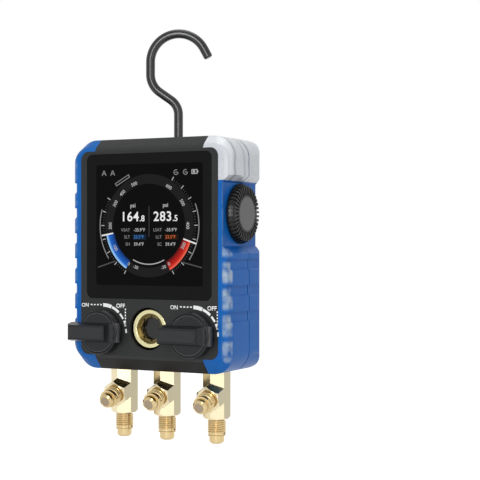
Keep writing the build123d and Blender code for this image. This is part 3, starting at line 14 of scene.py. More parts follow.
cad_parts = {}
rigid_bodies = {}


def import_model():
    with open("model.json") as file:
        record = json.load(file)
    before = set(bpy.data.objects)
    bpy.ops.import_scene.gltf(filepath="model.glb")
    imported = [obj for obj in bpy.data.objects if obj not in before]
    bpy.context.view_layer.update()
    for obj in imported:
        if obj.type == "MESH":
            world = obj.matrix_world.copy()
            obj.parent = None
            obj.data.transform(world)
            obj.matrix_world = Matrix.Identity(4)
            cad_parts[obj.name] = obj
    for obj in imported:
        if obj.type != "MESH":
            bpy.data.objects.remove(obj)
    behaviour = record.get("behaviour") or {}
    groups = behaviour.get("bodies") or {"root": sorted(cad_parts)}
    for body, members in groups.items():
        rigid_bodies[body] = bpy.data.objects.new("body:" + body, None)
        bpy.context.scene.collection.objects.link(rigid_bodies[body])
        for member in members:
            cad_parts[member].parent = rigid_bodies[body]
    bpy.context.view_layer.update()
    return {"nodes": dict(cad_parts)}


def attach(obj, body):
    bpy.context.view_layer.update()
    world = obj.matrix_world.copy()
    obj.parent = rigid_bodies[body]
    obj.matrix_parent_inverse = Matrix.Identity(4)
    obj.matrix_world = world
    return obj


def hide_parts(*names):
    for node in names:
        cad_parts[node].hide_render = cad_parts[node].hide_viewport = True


Piece = bpy.types.Object
Material = bpy.types.Material
Tree = bpy.types.NodeTree
Socket = bpy.types.NodeSocket

LOG = logging.getLogger("manifold_gauge")
MM = 0.001
TURN = 2 * math.pi

# The housing's own coordinates: X to the right, Y from the face to the back, Z up from the
# underside, in millimetres. The frame's origin is the seat in the hook's bow.
HOOK_AXIS_Y = 36.0
HOOK_SEAT_Z = 198.847
VALVE_X = 30.5
VALVE_Z = 22.5


def place(x: float, y: float, z: float) -> Vector:
    """Point of the housing's coordinates as a point of the frame.

    Args:
        x: Millimetres to the right of the middle.
        y: Millimetres behind the face.
        z: Millimetres above the underside.

    Returns:
        The point in the frame, in metres.
    """
    return Vector((x, y - HOOK_AXIS_Y, z - HOOK_SEAT_Z)) * MM


def posed(where: Vector, axis: str, degrees: float) -> Matrix:
    """Placement of something that is turned about one axis and then moved.

    Args:
        where: Where its origin goes, in metres.
        axis: "X", "Y" or "Z".
        degrees: How far it is turned.

    Returns:
        The placement.
    """
    return Matrix.Translation(where) @ Matrix.Rotation(math.radians(degrees), 4, axis)


def srgb(code: str) -> tuple[float, float, float, float]:
    """Linear colour of an sRGB hex value.

    Args:
        code: Six hexadecimal digits, with or without a leading hash.

    Returns:
        Red, green, blue and an alpha of 1, linear.
    """
    digits = code.lstrip("#")
    parts = [int(digits[i:i + 2], 16) / 255 for i in (0, 2, 4)]
    linear = [p / 12.92 if p <= 0.04045 else ((p + 0.055) / 1.055) ** 2.4 for p in parts]
    return (linear[0], linear[1], linear[2], 1.0)


# ---------------------------------------------------------------- modelling by hand
class Element(Enum):
    """What edit mode selects, by Blender's own words."""

    CORNER = "VERT"
    EDGE = "EDGE"
    FACE = "FACE"


def deselect_all() -> None:
    """Leaves object mode with nothing selected."""
    if bpy.context.object and bpy.context.object.mode != "OBJECT":
        bpy.ops.object.mode_set(mode="OBJECT")
    bpy.ops.object.select_all(action="DESELECT")


def hold(piece: Piece) -> None:
    """Makes one piece the only selected one and the active one.

    Args:
        piece: The piece to work on.
    """
    deselect_all()
    piece.select_set(True)
    bpy.context.view_layer.objects.active = piece


def named(name: str) -> Piece:
    """Names the piece that was added last.

    Args:
        name: Name of the piece and of its mesh.

    Returns:
        The active object.
    """
    piece = bpy.context.object
    piece.name = name
    piece.data.name = name
    return piece


def settle(piece: Piece) -> Piece:
    """Puts the piece's place into its mesh, so that the object sits at the origin.

    Args:
        piece: The piece to settle.

    Returns:
        The same piece.
    """
    hold(piece)
    bpy.ops.object.transform_apply(location=True, rotation=True, scale=True)
    return piece


def choose(piece: Piece, element: Element, test: Callable[[Vector], bool]) -> None:
    """Selects parts of the piece in edit mode by their place, and leaves edit mode on.

    Args:
        piece: The piece, which becomes the active one.
        element: What is selected.
        test: Given the middle of a part, says whether it is wanted.
    """
    if bpy.context.object is not piece or piece.mode != "EDIT":
        hold(piece)
        bpy.ops.object.mode_set(mode="EDIT")
    bpy.ops.mesh.select_mode(type=element.value)
    bpy.ops.mesh.select_all(action="DESELECT")
    mesh = bmesh.from_edit_mesh(piece.data)
    if element is Element.CORNER:
        parts = [(vert, vert.co) for vert in mesh.verts]
    elif element is Element.EDGE:
        parts = [(edge, (edge.verts[0].co + edge.verts[1].co) / 2) for edge in mesh.edges]
    else:
        parts = [(face, face.calc_center_median()) for face in mesh.faces]
    for part, middle in parts:
        if test(middle):
            part.select = True
    mesh.select_flush_mode()
    bmesh.update_edit_mesh(piece.data)


def weld(distance: float) -> None:
    """Merges corners of the mesh in edit mode.

    Args:
        distance: Corners that are nearer than this become one, in millimetres.
    """
    bpy.ops.mesh.select_all(action="SELECT")
    bpy.ops.mesh.remove_doubles(threshold=distance * MM)


def turn_outwards() -> None:
    """Turns the faces of the mesh in edit mode outwards and goes back to object mode."""
    bpy.ops.mesh.select_all(action="SELECT")
    bpy.ops.mesh.normals_make_consistent(inside=False)
    bpy.ops.object.mode_set(mode="OBJECT")


def modify(piece: Piece, kind: str, **settings: object) -> None:
    """Adds a modifier with its settings and applies it.

    Args:
        piece: The piece that gets it.
        kind: Blender's name of the modifier's type.
        **settings: Values for the modifier's properties.
    """
    hold(piece)
    bpy.ops.object.modifier_add(type=kind)
    modifier = piece.modifiers[-1]
    for name, value in settings.items():
        setattr(modifier, name, value)
    bpy.ops.object.modifier_apply(modifier=modifier.name)


def soften(piece: Piece, width: float, segments: int = 2, angle: float = 30.0) -> None:
    """Rounds the piece's hard edges and shades the rest smooth.

    Args:
        piece: The piece to finish.
        width: Width of the rounding, in millimetres.
        segments: Faces across the rounding.
        angle: Edges that turn by more than this many degrees are hard.
    """
    modify(piece, "BEVEL", width=width * MM, segments=segments, limit_method="ANGLE",
           angle_limit=math.radians(angle), use_clamp_overlap=True, miter_outer="MITER_ARC")
    hold(piece)
    bpy.ops.object.shade_smooth_by_angle(angle=math.radians(angle))
    modify(piece, "WEIGHTED_NORMAL", keep_sharp=True)


def one_skin(node: Piece, name: str) -> Piece:
    """A copy of a moulded or machined solid, its loose triangles merged into one skin.

    Args:
        node: The solid to copy, which stays as it is.
        name: Name of the copy.

    Returns:
        The copy, at the origin.
    """
    hold(node)
    bpy.ops.object.duplicate()
    copy = named(name)
    bpy.ops.object.parent_clear(type="CLEAR_KEEP_TRANSFORM")
    settle(copy)
    bpy.ops.object.mode_set(mode="EDIT")
    weld(0.002)
    bpy.ops.mesh.dissolve_limited(angle_limit=math.radians(0.5))
    bpy.ops.object.mode_set(mode="OBJECT")
    return copy


# ---------------------------------------------------------------- finishes
# A Mix node has a pair of inputs for each type of data; these are the colours' own.
MIX_FIRST, MIX_SECOND, MIX_COLOUR = "6", "7", 2


def add_node(tree: Tree, kind: str, inputs: dict[str, object] | None = None,
             **settings: object) -> bpy.types.Node:
    """Adds a shader node with its settings, values and links.

    Args:
        tree: The node tree of the material or the world.
        kind: Blender's node type.
        inputs: Values or output sockets by the input's name or number.
        **settings: Properties of the node.

    Returns:
        The new node.
    """
    node = tree.nodes.new(kind)
    for name, value in settings.items():
        setattr(node, name, value)
    for name, value in (inputs or {}).items():
        socket = node.inputs[int(name)] if name.isdigit() else node.inputs[name]
        if isinstance(value, Socket):
            tree.links.new(value, socket)
        else:
            socket.default_value = value
    return node


def new_material(name: str) -> tuple[Material, Tree]:
    """An empty node material.

    Args:
        name: The finish's name.

    Returns:
        The material and its node tree, with no nodes.
    """
    material = bpy.data.materials.new(name)
    material.use_nodes = True
    material.node_tree.nodes.clear()
    return material, material.node_tree


def scale_for(size: float) -> float:
    """Scale of a texture whose features lie so many millimetres apart."""
    return 1 / (size * MM)


@dataclass(frozen=True)
class Grain:
    """Fine relief of a surface: distance and height of its bumps, in millimetres."""

    spacing: float
    height: float


@dataclass(frozen=True)
class Finish:
    """A surface with a mottled colour, uneven gloss and a fine grain."""

    name: str
    colour: str
    shade: str
    roughness: float
    grain: Grain
    patch: float = 18.0
    wear_patch: float = 7.2
    roughness_swing: float = 0.08
    metallic: float = 0.0
    ior: float = 1.5
    coat: float = 0.0
    coat_roughness: float = 0.1
    transmission: float = 0.0
    specular: float = 0.5

    def colour_socket(self, tree: Tree, where: Socket) -> Socket:
        """Colour that drifts between the finish's colour and its shade.

        Args:
            tree: The material's node tree.
            where: Object coordinates.

        Returns:
            The socket that carries the colour.
        """
        patches = add_node(tree, "ShaderNodeTexNoise", {
            "Vector": where, "Scale": scale_for(self.patch), "Detail": 2.0})
        mix = add_node(tree, "ShaderNodeMix", {
            "Factor": patches.outputs["Fac"], MIX_FIRST: srgb(self.colour),
            MIX_SECOND: srgb(self.shade)}, data_type="RGBA")
        return mix.outputs[MIX_COLOUR]

    def height_socket(self, tree: Tree, where: Socket) -> Socket:
        """Height of the finish's grain.

        Args:
            tree: The material's node tree.
            where: Object coordinates.

        Returns:
            The socket that carries the height, from 0 to 1.
        """
        grain = add_node(tree, "ShaderNodeTexNoise", {
            "Vector": where, "Scale": scale_for(self.grain.spacing), "Detail": 3.0})
        return grain.outputs["Fac"]

    def build(self) -> Material:
        """Makes the material.

        Returns:
            The material, ready to be put on a piece.
        """
        material, tree = new_material(self.name)
        where = add_node(tree, "ShaderNodeTexCoord").outputs["Object"]
        wear = add_node(tree, "ShaderNodeTexNoise", {
            "Vector": where, "Scale": scale_for(self.wear_patch), "Detail": 4.0})
        gloss = add_node(tree, "ShaderNodeMapRange", {
            "Value": wear.outputs["Fac"], "To Min": self.roughness - self.roughness_swing,
            "To Max": self.roughness + self.roughness_swing})
        bump = add_node(tree, "ShaderNodeBump", {
            "Height": self.height_socket(tree, where), "Distance": self.grain.height * MM,
            "Strength": 1.0})
        shader = add_node(tree, "ShaderNodeBsdfPrincipled", {
            "Base Color": self.colour_socket(tree, where), "Roughness": gloss.outputs["Result"],
            "Normal": bump.outputs["Normal"], "Metallic": self.metallic, "IOR": self.ior,
            "Coat Weight": self.coat, "Coat Roughness": self.coat_roughness,
            "Transmission Weight": self.transmission, "Specular IOR Level": self.specular})
        add_node(tree, "ShaderNodeOutputMaterial", {"Surface": shader.outputs["BSDF"]})
        return material


@dataclass(frozen=True)
class ShellPlastic(Finish):
    """Moulded plastic of the shells, with painted shade on the bevel under the face."""

    # Painted shade: colour of the shells below the bevel's upper edge.
    bevel_shade_colour: str = "#070707"
    bevel_top: float = 7.0
    bevel_blur: float = 0.2

    def colour_socket(self, tree: Tree, where: Socket) -> Socket:
        """Colour of the plastic, with painted shade below the bevel's upper edge.

        Args:
            tree: The material's node tree.
            where: Object coordinates.

        Returns:
            The socket that carries the colour.
        """
        axes = add_node(tree, "ShaderNodeSeparateXYZ", {"Vector": where})
        edge = place(0, 0, self.bevel_top).z
        below = add_node(tree, "ShaderNodeMapRange", {
            "Value": axes.outputs["Z"], "From Min": edge + self.bevel_blur * MM,
            "From Max": edge - self.bevel_blur * MM})
        mix = add_node(tree, "ShaderNodeMix", {
            "Factor": below.outputs["Result"], MIX_FIRST: super().colour_socket(tree, where),
            MIX_SECOND: srgb(self.bevel_shade_colour)}, data_type="RGBA")
        return mix.outputs[MIX_COLOUR]


@dataclass(frozen=True)
class SheenPaintedRubber(Finish):
    """Rubber with a painted highlight along its front strip, on each pad."""

    # Painted highlight: the pale colour that stands in for the sheen on each pad's front strip.
    painted_sheen: str = "#B2C2CC"
    strength: float = 0.85
    # How strong the left side's painted highlight is beside the right side's.
    left_share: float = 0.35
    strip_start: float = 48.2
    strip_end: float = 49.8
    strip_depth: float = 7.5
    strip_fade: float = 2.5
    # The pads' pitch, one edge between two of them, and the painted highlight's rise from it.
    pad_pitch: float = 15.0
    pad_edge: float = 35.7
    pad_rise: tuple[float, float] = (0.5, 3.0)
    # Size of the painted highlight's clouds, and the part of their noise over which they thicken.
    cloud: float = 5.0
    cloud_range: tuple[float, float] = (0.25, 0.7)

    def colour_socket(self, tree: Tree, where: Socket) -> Socket:
        """Colour of the rubber with a painted highlight on each pad's front strip.

        Args:
            tree: The material's node tree.
            where: Object coordinates.

        Returns:
            The socket that carries the colour.
        """
        axes = add_node(tree, "ShaderNodeSeparateXYZ", {"Vector": where})
        outward = add_node(tree, "ShaderNodeMath", {"0": axes.outputs["X"]}, operation="ABSOLUTE")
        side = add_node(tree, "ShaderNodeMapRange", {
            "Value": outward.outputs["Value"], "From Min": self.strip_start * MM,
            "From Max": self.strip_end * MM}, interpolation_type="SMOOTHSTEP")
        left_right_weight = add_node(tree, "ShaderNodeMapRange", {
            "Value": axes.outputs["X"], "From Min": -self.strip_start * MM,
            "From Max": self.strip_start * MM, "To Min": self.left_share, "To Max": 1.0})
        back = place(0, self.strip_depth, 0).y
        front = add_node(tree, "ShaderNodeMapRange", {
            "Value": axes.outputs["Y"], "From Min": back, "From Max": back - self.strip_fade * MM},
            interpolation_type="SMOOTHSTEP")
        height = add_node(tree, "ShaderNodeMath", {
            "0": axes.outputs["Z"], "1": place(0, 0, self.pad_edge).z}, operation="SUBTRACT")
        pad = add_node(tree, "ShaderNodeMath", {
            "0": height.outputs["Value"], "1": self.pad_pitch / 2 * MM}, operation="PINGPONG")
        middle = add_node(tree, "ShaderNodeMapRange", {
            "Value": pad.outputs["Value"], "From Min": self.pad_rise[0] * MM,
            "From Max": self.pad_rise[1] * MM}, interpolation_type="SMOOTHSTEP")
        clouds = add_node(tree, "ShaderNodeTexNoise", {
            "Vector": where, "Scale": scale_for(self.cloud), "Detail": 2.0})
        amount = add_node(tree, "ShaderNodeMapRange", {
            "Value": clouds.outputs["Fac"], "From Min": self.cloud_range[0],
            "From Max": self.cloud_range[1], "To Max": self.strength})
        for share in (side, left_right_weight, front, middle):
            amount = add_node(tree, "ShaderNodeMath", {
                "0": amount.outputs[0], "1": share.outputs["Result"]}, operation="MULTIPLY")
        mix = add_node(tree, "ShaderNodeMix", {
            "Factor": amount.outputs["Value"], MIX_FIRST: super().colour_socket(tree, where),
            MIX_SECOND: srgb(self.painted_sheen)}, data_type="RGBA")
        return mix.outputs[MIX_COLOUR]


@dataclass(frozen=True)
class MilkyRubber(Finish):
    """Unpigmented rubber, striped across its depth with painted highlights and painted shade."""

    # Depth from the face, half width, colour and strength of each painted line of light and shade.
    # Pale lines are painted highlights, grey ones painted shade; the dark one marks the caps' seam.
    lines: tuple[tuple[float, float, str, float], ...] = (
        (4.2, 3.4, "#E8EAED", 0.8), (9.0, 1.3, "#8B929C", 0.85), (15.0, 4.5, "#D6D9DC", 0.7),
        (21.0, 1.8, "#9FA5AE", 0.6), (26.8, 0.9, "#59648A", 0.9), (35.0, 5.0, "#CDD0D4", 0.6))
    # How far the lines sway to each side, and over what length.
    sway: float = 1.4
    sway_length: float = 14.0
    # Share of a line's half width that has its full strength.
    core: float = 0.3

    def colour_socket(self, tree: Tree, where: Socket) -> Socket:
        """Milky colour with its painted lines of light and shade.

        Args:
            tree: The material's node tree.
            where: Object coordinates.

        Returns:
            The socket that carries the colour.
        """
        depth = add_node(tree, "ShaderNodeSeparateXYZ", {"Vector": where}).outputs["Y"]
        drift = add_node(tree, "ShaderNodeTexNoise", {
            "Vector": where, "Scale": scale_for(self.sway_length), "Detail": 1.0})
        sway = add_node(tree, "ShaderNodeMapRange", {
            "Value": drift.outputs["Fac"], "To Min": -self.sway * MM, "To Max": self.sway * MM})
        swayed = add_node(tree, "ShaderNodeMath", {
            "0": depth, "1": sway.outputs["Result"]}, operation="ADD")
        colour = super().colour_socket(tree, where)
        for line_depth, half_width, painted_line_colour, strength in self.lines:
            away = add_node(tree, "ShaderNodeMath", {
                "0": swayed.outputs["Value"], "1": place(0, line_depth, 0).y},
                operation="SUBTRACT")
            distance = add_node(tree, "ShaderNodeMath", {
                "0": away.outputs["Value"]}, operation="ABSOLUTE")
            near = add_node(tree, "ShaderNodeMapRange", {
                "Value": distance.outputs["Value"], "From Min": half_width * MM,
                "From Max": self.core * half_width * MM, "To Max": strength},
                interpolation_type="SMOOTHSTEP")
            mix = add_node(tree, "ShaderNodeMix", {
                "Factor": near.outputs["Result"], MIX_FIRST: colour,
                MIX_SECOND: srgb(painted_line_colour)}, data_type="RGBA")
            colour = mix.outputs[MIX_COLOUR]
        return colour


@dataclass(frozen=True)
class TurnedMetal(Finish):
    """Metal with fine tool marks; on a turned part they run round the axis, so they cross Z."""

    # Distance between two marks, and how many times longer than that a mark is.
    mark: float = 0.35
    stretch: float = 12.0

    def height_socket(self, tree: Tree, where: Socket) -> Socket:
        """Height of the tool marks, drawn as streaks across Z.

        Args:
            tree: The material's node tree.
            where: Object coordinates.

        Returns:
            The socket that carries the height, from 0 to 1.
        """
        across = add_node(tree, "ShaderNodeMapping", {
            "Vector": where, "Scale": (1.0, 1.0, self.stretch)})
        marks = add_node(tree, "ShaderNodeTexNoise", {
            "Vector": across.outputs["Vector"], "Scale": scale_for(self.stretch * self.mark),
            "Detail": 2.0})
        return marks.outputs["Fac"]


@dataclass(frozen=True)
class SideShadedMetal(TurnedMetal):
    """Hexagon bar with painted shade on the flats that face sideways."""

    # Painted shade: colour of the flats that face sideways.
    side_flat_shade: str = "#A0987F"
    strength: float = 0.8
    # How far a surface must face sideways for the painted shade to start, and to be full.
    flats: tuple[float, float] = (0.72, 0.92)

    def colour_socket(self, tree: Tree, where: Socket) -> Socket:
        """Colour of the metal, with painted shade on the flats that face sideways.

        Args:
            tree: The material's node tree.
            where: Object coordinates.

        Returns:
            The socket that carries the colour.
        """
        normal = add_node(tree, "ShaderNodeTexCoord").outputs["Normal"]
        axes = add_node(tree, "ShaderNodeSeparateXYZ", {"Vector": normal})
        sideways = add_node(tree, "ShaderNodeMath", {"0": axes.outputs["X"]}, operation="ABSOLUTE")
        amount = add_node(tree, "ShaderNodeMapRange", {
            "Value": sideways.outputs["Value"], "From Min": self.flats[0],
            "From Max": self.flats[1], "To Max": self.strength})
        mix = add_node(tree, "ShaderNodeMix", {
            "Factor": amount.outputs["Result"], MIX_FIRST: super().colour_socket(tree, where),
            MIX_SECOND: srgb(self.side_flat_shade)}, data_type="RGBA")
        return mix.outputs[MIX_COLOUR]


@dataclass(frozen=True)
class Glow:
    """A lit area of the display: it shines by itself, under the faint gloss of the cover."""

    name: str

    def light(self, tree: Tree, where: Socket) -> Socket:
        """Colour of the light, which each kind of area gives in its own way.

        Args:
            tree: The material's node tree.
            where: Object coordinates.

        Returns:
            The socket that carries the colour.
        """
        raise NotImplementedError(self.name)

    def build(self) -> Material:
        """Makes the material.

        Returns:
            The material, ready to be put on a piece.
        """
        material, tree = new_material(self.name)
        where = add_node(tree, "ShaderNodeTexCoord").outputs["Object"]
        shader = add_node(tree, "ShaderNodeBsdfPrincipled", {
            "Base Color": srgb("#050505"), "Roughness": 0.2, "Specular IOR Level": 0.06,
            "Emission Color": self.light(tree, where), "Emission Strength": 1.0})
        add_node(tree, "ShaderNodeOutputMaterial", {"Surface": shader.outputs["BSDF"]})
        return material


@dataclass(frozen=True)
class Lit(Glow):
    """An area of one colour, faintly mottled by the panel's cells."""

    colour: str
    cell: float = 0.3
    cell_shade: float = 0.82

    def light(self, tree: Tree, where: Socket) -> Socket:
        """Colour that drifts a little from cell to cell.

        Args:
            tree: The material's node tree.
            where: Object coordinates.

        Returns:
            The socket that carries the colour.
        """
        cells = add_node(tree, "ShaderNodeTexNoise", {
            "Vector": where, "Scale": scale_for(self.cell), "Detail": 0.0})
        full = srgb(self.colour)
        dimmed = tuple(self.cell_shade * part for part in full[:3]) + (1.0,)
        mix = add_node(tree, "ShaderNodeMix", {
            "Factor": cells.outputs["Fac"], MIX_FIRST: full, MIX_SECOND: dimmed}, data_type="RGBA")
        return mix.outputs[MIX_COLOUR]


@dataclass(frozen=True)
class LitBand(Glow):
    """A lit arc of the dial whose colour changes from its inner to its outer edge."""

    inner: str
    middle: str
    outer: str
    centre: tuple[float, float, float]
    inner_radius: float
    outer_radius: float
    middle_share: float = 0.68

    def light(self, tree: Tree, where: Socket) -> Socket:
        """Colour by the distance from the dial's centre.

        Args:
            tree: The material's node tree.
            where: Object coordinates.

        Returns:
            The socket that carries the colour.
        """
        centre = tuple(place(*self.centre))
        arm = add_node(tree, "ShaderNodeVectorMath", {
            "0": where, "1": centre}, operation="SUBTRACT")
        radius = add_node(tree, "ShaderNodeVectorMath", {
            "0": arm.outputs["Vector"]}, operation="LENGTH")
        share = add_node(tree, "ShaderNodeMapRange", {
            "Value": radius.outputs["Value"], "From Min": self.inner_radius * MM,
            "From Max": self.outer_radius * MM})
        ramp = add_node(tree, "ShaderNodeValToRGB", {"Fac": share.outputs["Result"]})
        stops = ramp.color_ramp.elements
        stops[0].color = srgb(self.inner)
        stops[1].color = srgb(self.outer)
        stops.new(self.middle_share).color = srgb(self.middle)
        return ramp.outputs["Color"]


# The grain of a mould and the marks of a tool are 0.05 to 0.1 mm apart. They are too fine to
# show, so each Grain and each mark below is drawn 0.3 to 0.8 mm apart.

# Injection-moulded ABS: a fine spark-eroded grain that breaks up the highlights.
# Painted shade darkens the shells below 7 mm above the underside, on the bevel under the face.
SHELL_ABS = ShellPlastic("moulded_black_abs", "#2C2D2D", "#262727", 0.46, Grain(0.6, 0.012),
                         specular=0.22)
# Soft TPE moulded over the shells: satin, slightly cloudy, with a fine matt grain.
# Painted highlight: a pale sheen on each pad's front strip, weaker on the left side.
BLUE_TPE = SheenPaintedRubber("blue_overmoulded_tpe", "#0C68B6", "#165BAE", 0.38, Grain(0.8, 0.012),
                        specular=0.16)
# The same rubber unpigmented: milky and pale, with a wet gloss and painted lines of light and
# shade.
CLEAR_TPE = MilkyRubber("frosted_clear_tpe", "#D2D5D9", "#C6CACF", 0.28, Grain(0.8, 0.012),
                        coat=0.25)
# Hard-coated acrylic with a dark printed back: smooth, and coated against glare.
LENS_ACRYLIC = Finish("hard_coated_acrylic", "#121212", "#0F0F10", 0.16, Grain(6.0, 0.001),
                      roughness_swing=0.03, specular=0.08)
# Float glass over the unlit panel: the deepest black, with hardly a reflection of its own.
LCD_BLACK = Finish("display_glass_black", "#010101", "#020202", 0.14, Grain(6.0, 0.001),
                   roughness_swing=0.02, specular=0.06)
# Moulded glass-filled nylon: harder and a little bluer than the shell, with soft highlights.
HANDLE_NYLON = Finish("moulded_black_nylon", "#202124", "#1A1B1E", 0.30, Grain(0.5, 0.008),
                      specular=0.26)
# The same nylon from a polished mould: the lever's inlay is smoother and a little paler.
LABEL_NYLON = Finish("polished_black_nylon", "#2A2B2E", "#252629", 0.24, Grain(0.5, 0.003),
                     specular=0.28)
# Painted highlight: a pale nylon ring that stands in for the light on the edge of the lever's base.
RING_HIGHLIGHT = Finish("painted_highlight_ring", "#4C4D50", "#424346", 0.35, Grain(0.4, 0.005), specular=0.4)
# Painted shade: a matt dark ring that stands in for the shade in the gap round the lever's base.
RING_SHADE = Finish("painted_shade_ring", "#060607", "#0B0B0C", 0.7, Grain(0.4, 0.005), specular=0.15)
# Nylon teeth from a polished mould: deep black, with a thin highlight on each tooth.
KNOB_NYLON = Finish("toothed_knob_nylon", "#101011", "#151516", 0.26, Grain(0.5, 0.006),
                    specular=0.26)
# Nylon disc from a blasted mould: grey and satin, so it stands out from the teeth round it.
KNOB_DISC = Finish("satin_disc_nylon", "#4C4C4C", "#464647", 0.34, Grain(0.4, 0.006))
# Free-machining brass, drawn as hexagon bar and turned: bright, pale and nearly a mirror.
# Painted shade darkens the flats of its hexagons that face sideways.
BRASS = SideShadedMetal("turned_brass", "#E2D5B4", "#D8C9A4", 0.20, Grain(0.3, 0.002), metallic=1.0,
                   roughness_swing=0.04)
# Brass faced in the lathe and lacquered: flat, even and pale gold.
BRASS_FACE = Finish("faced_brass", "#D9D2A6", "#CFC698", 0.26, Grain(0.4, 0.001), metallic=1.0,
                    roughness_swing=0.03)
# Brass cut by a die: warmer than the flats, with a bright line along each crest.
BRASS_THREAD = TurnedMetal("cut_brass_thread", "#D2BD90", "#C4AC7C", 0.20, Grain(0.3, 0.002),
                           metallic=1.0, roughness_swing=0.04)
# Turned brass darkened as painted shade: the ring under the glass is darker than the faced rim.
BRASS_SHADED = TurnedMetal("shaded_bore_brass", "#6E613F", "#5A4E30", 0.26, Grain(0.3, 0.002),
                          metallic=1.0)
# Turned brass gone dull on the stubs' ends: greyish, with blurred highlights.
BRASS_DULL = TurnedMetal("dark_bore_brass", "#A3937F", "#94846E", 0.42, Grain(0.3, 0.003),
                         metallic=1.0)
# Drilled and washed block brass, darkened as painted shade of the bore behind the sight glass.
BRASS_BLOCK = TurnedMetal("drilled_block_brass", "#2A241B", "#201B14", 0.45, Grain(0.3, 0.004),
                          metallic=1.0)
# Baked black enamel on bent steel rod: deep and wet-looking, with a slow waviness.
ENAMEL = Finish("black_enamel", "#040507", "#06070A", 0.28, Grain(9.0, 0.0005),
                roughness_swing=0.02, specular=0.26, coat=0.5, coat_roughness=0.2)
# Steel with bright zinc plate: a cool, slightly cloudy silver.
ZINC = TurnedMetal("zinc_plated_steel", "#B8BABD", "#A4A7AB", 0.30, Grain(0.3, 0.003),
                   metallic=1.0)
# Turned stainless steel: a neutral silver with fine rings round the axis.
STAINLESS = TurnedMetal("turned_stainless", "#B9BABC", "#A9AAAD", 0.26, Grain(0.3, 0.003),
                        metallic=1.0)
# Nickel plate on rolled spring strip: a warm silver with fine streaks.
NICKEL = TurnedMetal("nickel_plate", "#C9C4B6", "#BBB6A8", 0.28, Grain(0.3, 0.003), metallic=1.0)
# Moulded nitrile rubber: matt black, with no clear highlight.
NITRILE = Finish("nitrile_rubber", "#141414", "#1A1A1A", 0.6, Grain(0.5, 0.01))
# Turned black acetal: waxy and even.
ACETAL = Finish("black_acetal", "#1C1C1D", "#222223", 0.35, Grain(0.5, 0.006))
# Solder mask over glass epoxy: a half-glossy green that drifts a little in depth.
BOARD_GREEN = Finish("solder_mask_green", "#0E5A2B", "#0C4E26", 0.35, Grain(1.0, 0.01))
# Transfer-moulded epoxy of the chips: matt, nearly black.
CHIP_EPOXY = Finish("moulded_epoxy", "#1B1B1C", "#232324", 0.55, Grain(0.3, 0.01))
# Printed shrink film round the cells: grey and smooth, under a clear gloss.
CELL_JACKET = Finish("printed_cell_jacket", "#4C5158", "#43474D", 0.3, Grain(2.0, 0.005),
                     coat=0.3)
# Ground and polished borosilicate glass: clear, with a grey tint as painted shade of the bore
# behind.
SIGHT_GLASS = Finish("borosilicate_glass", "#3E3E3A", "#383A36", 0.05, Grain(9.0, 0.0),
                     transmission=1.0, roughness_swing=0.02, ior=1.47, specular=0.2)
# White pad print on the shell: thin and flat, less glossy than the plastic.
WHITE_INK = Finish("white_pad_print", "#FFFFFF", "#F6F6F6", 0.55, Grain(0.5, 0.004))

# Light of the panel's cells: even to the eye and without gloss of its own. The cells are about
# 0.1 mm wide and are drawn three times as coarse, so that they show. From white to near black:
LIT_WHITE = Lit("lit_white", "#F4F4F4")
LIT_PALE = Lit("lit_pale", "#B4B4B4")
LIT_GREY = Lit("lit_grey", "#8C8C8C")
LIT_DIM = Lit("lit_dim", "#505050")
LIT_BAND = Lit("lit_band", "#191819")
LIT_PILL = Lit("lit_pill", "#0C0C0C")
# The same light through the panel's blue and orange cells, as fields with brighter text on them.
LIT_BLUE_FIELD = Lit("lit_blue_field", "#0A1D33")
LIT_BLUE_TEXT = Lit("lit_blue_text", "#3C78BE")
LIT_ORANGE_FIELD = Lit("lit_orange_field", "#240E05")
LIT_ORANGE_TEXT = Lit("lit_orange_text", "#C8602C")

_BUILT: dict[str, Material] = {}


def material_of(finish: Finish | Glow) -> Material:
    """The material of a finish, made once.

    Args:
        finish: The finish.

    Returns:
        Its material.
    """
    if finish.name not in _BUILT:
        _BUILT[finish.name] = finish.build()
    return _BUILT[finish.name]


def coat(piece: Piece, finish: Finish | Glow) -> None:
    """Puts one finish on the whole piece.

    Args:
        piece: The piece or CAD solid.
        finish: Its finish.
    """
    material = material_of(finish)
    if piece.material_slots:
        for material_slot in piece.material_slots:
            material_slot.material = material
    else:
        piece.data.materials.append(material)


@dataclass
class Assembly:
    """What every sub-assembly shares: the frame's solids and the body that its pieces ride on."""

    nodes: dict[str, Piece]
    body: str = "housing"

    def fit(self, piece: Piece, finish: Finish | Glow, slot: str,
            replaced: Iterable[str] = ()) -> None:
        """Finishes a new piece and joins it to the moving model.

        Args:
            piece: The piece, in place.
            finish: Its finish.
            slot: The record's material slot that it belongs to; not used.
            replaced: Solids that it stands for.
        """
        coat(piece, finish)
        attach(piece, self.body)
        if replaced:
            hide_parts(*replaced)
        LOG.info("%s on %s", piece.name, self.body)

    def refine(self, node: str, finish: Finish, slot: str, width: float, segments: int = 2,
               angle: float = 30.0) -> None:
        """Puts a copy with rounded edges in the place of a solid.

        Args:
            node: Name of the solid.
            finish: The finish of the copy.
            slot: The record's material slot.
            width: Width of the rounding, in millimetres.
            segments: Faces across the rounding.
            angle: Edges that turn by more than this many degrees are rounded.
        """
        copy = one_skin(self.nodes[node], node + "_skin")
        soften(copy, width, segments, angle)
        self.fit(copy, finish, slot, (node,))

    def dress(self, finish: Finish, *nodes: str) -> None:
        """Gives solids that stay as they are their finish.

        Args:
            finish: The finish.
            *nodes: Names of the solids.
        """
        for node in nodes:
            coat(self.nodes[node], finish)
            LOG.info("%s dressed", node)


# ---------------------------------------------------------------- flat graphics
class Align(Enum):
    """Which part of a word stands at its place, by Blender's own words."""

    LEFT = "LEFT"
    MIDDLE = "CENTER"
    RIGHT = "RIGHT"


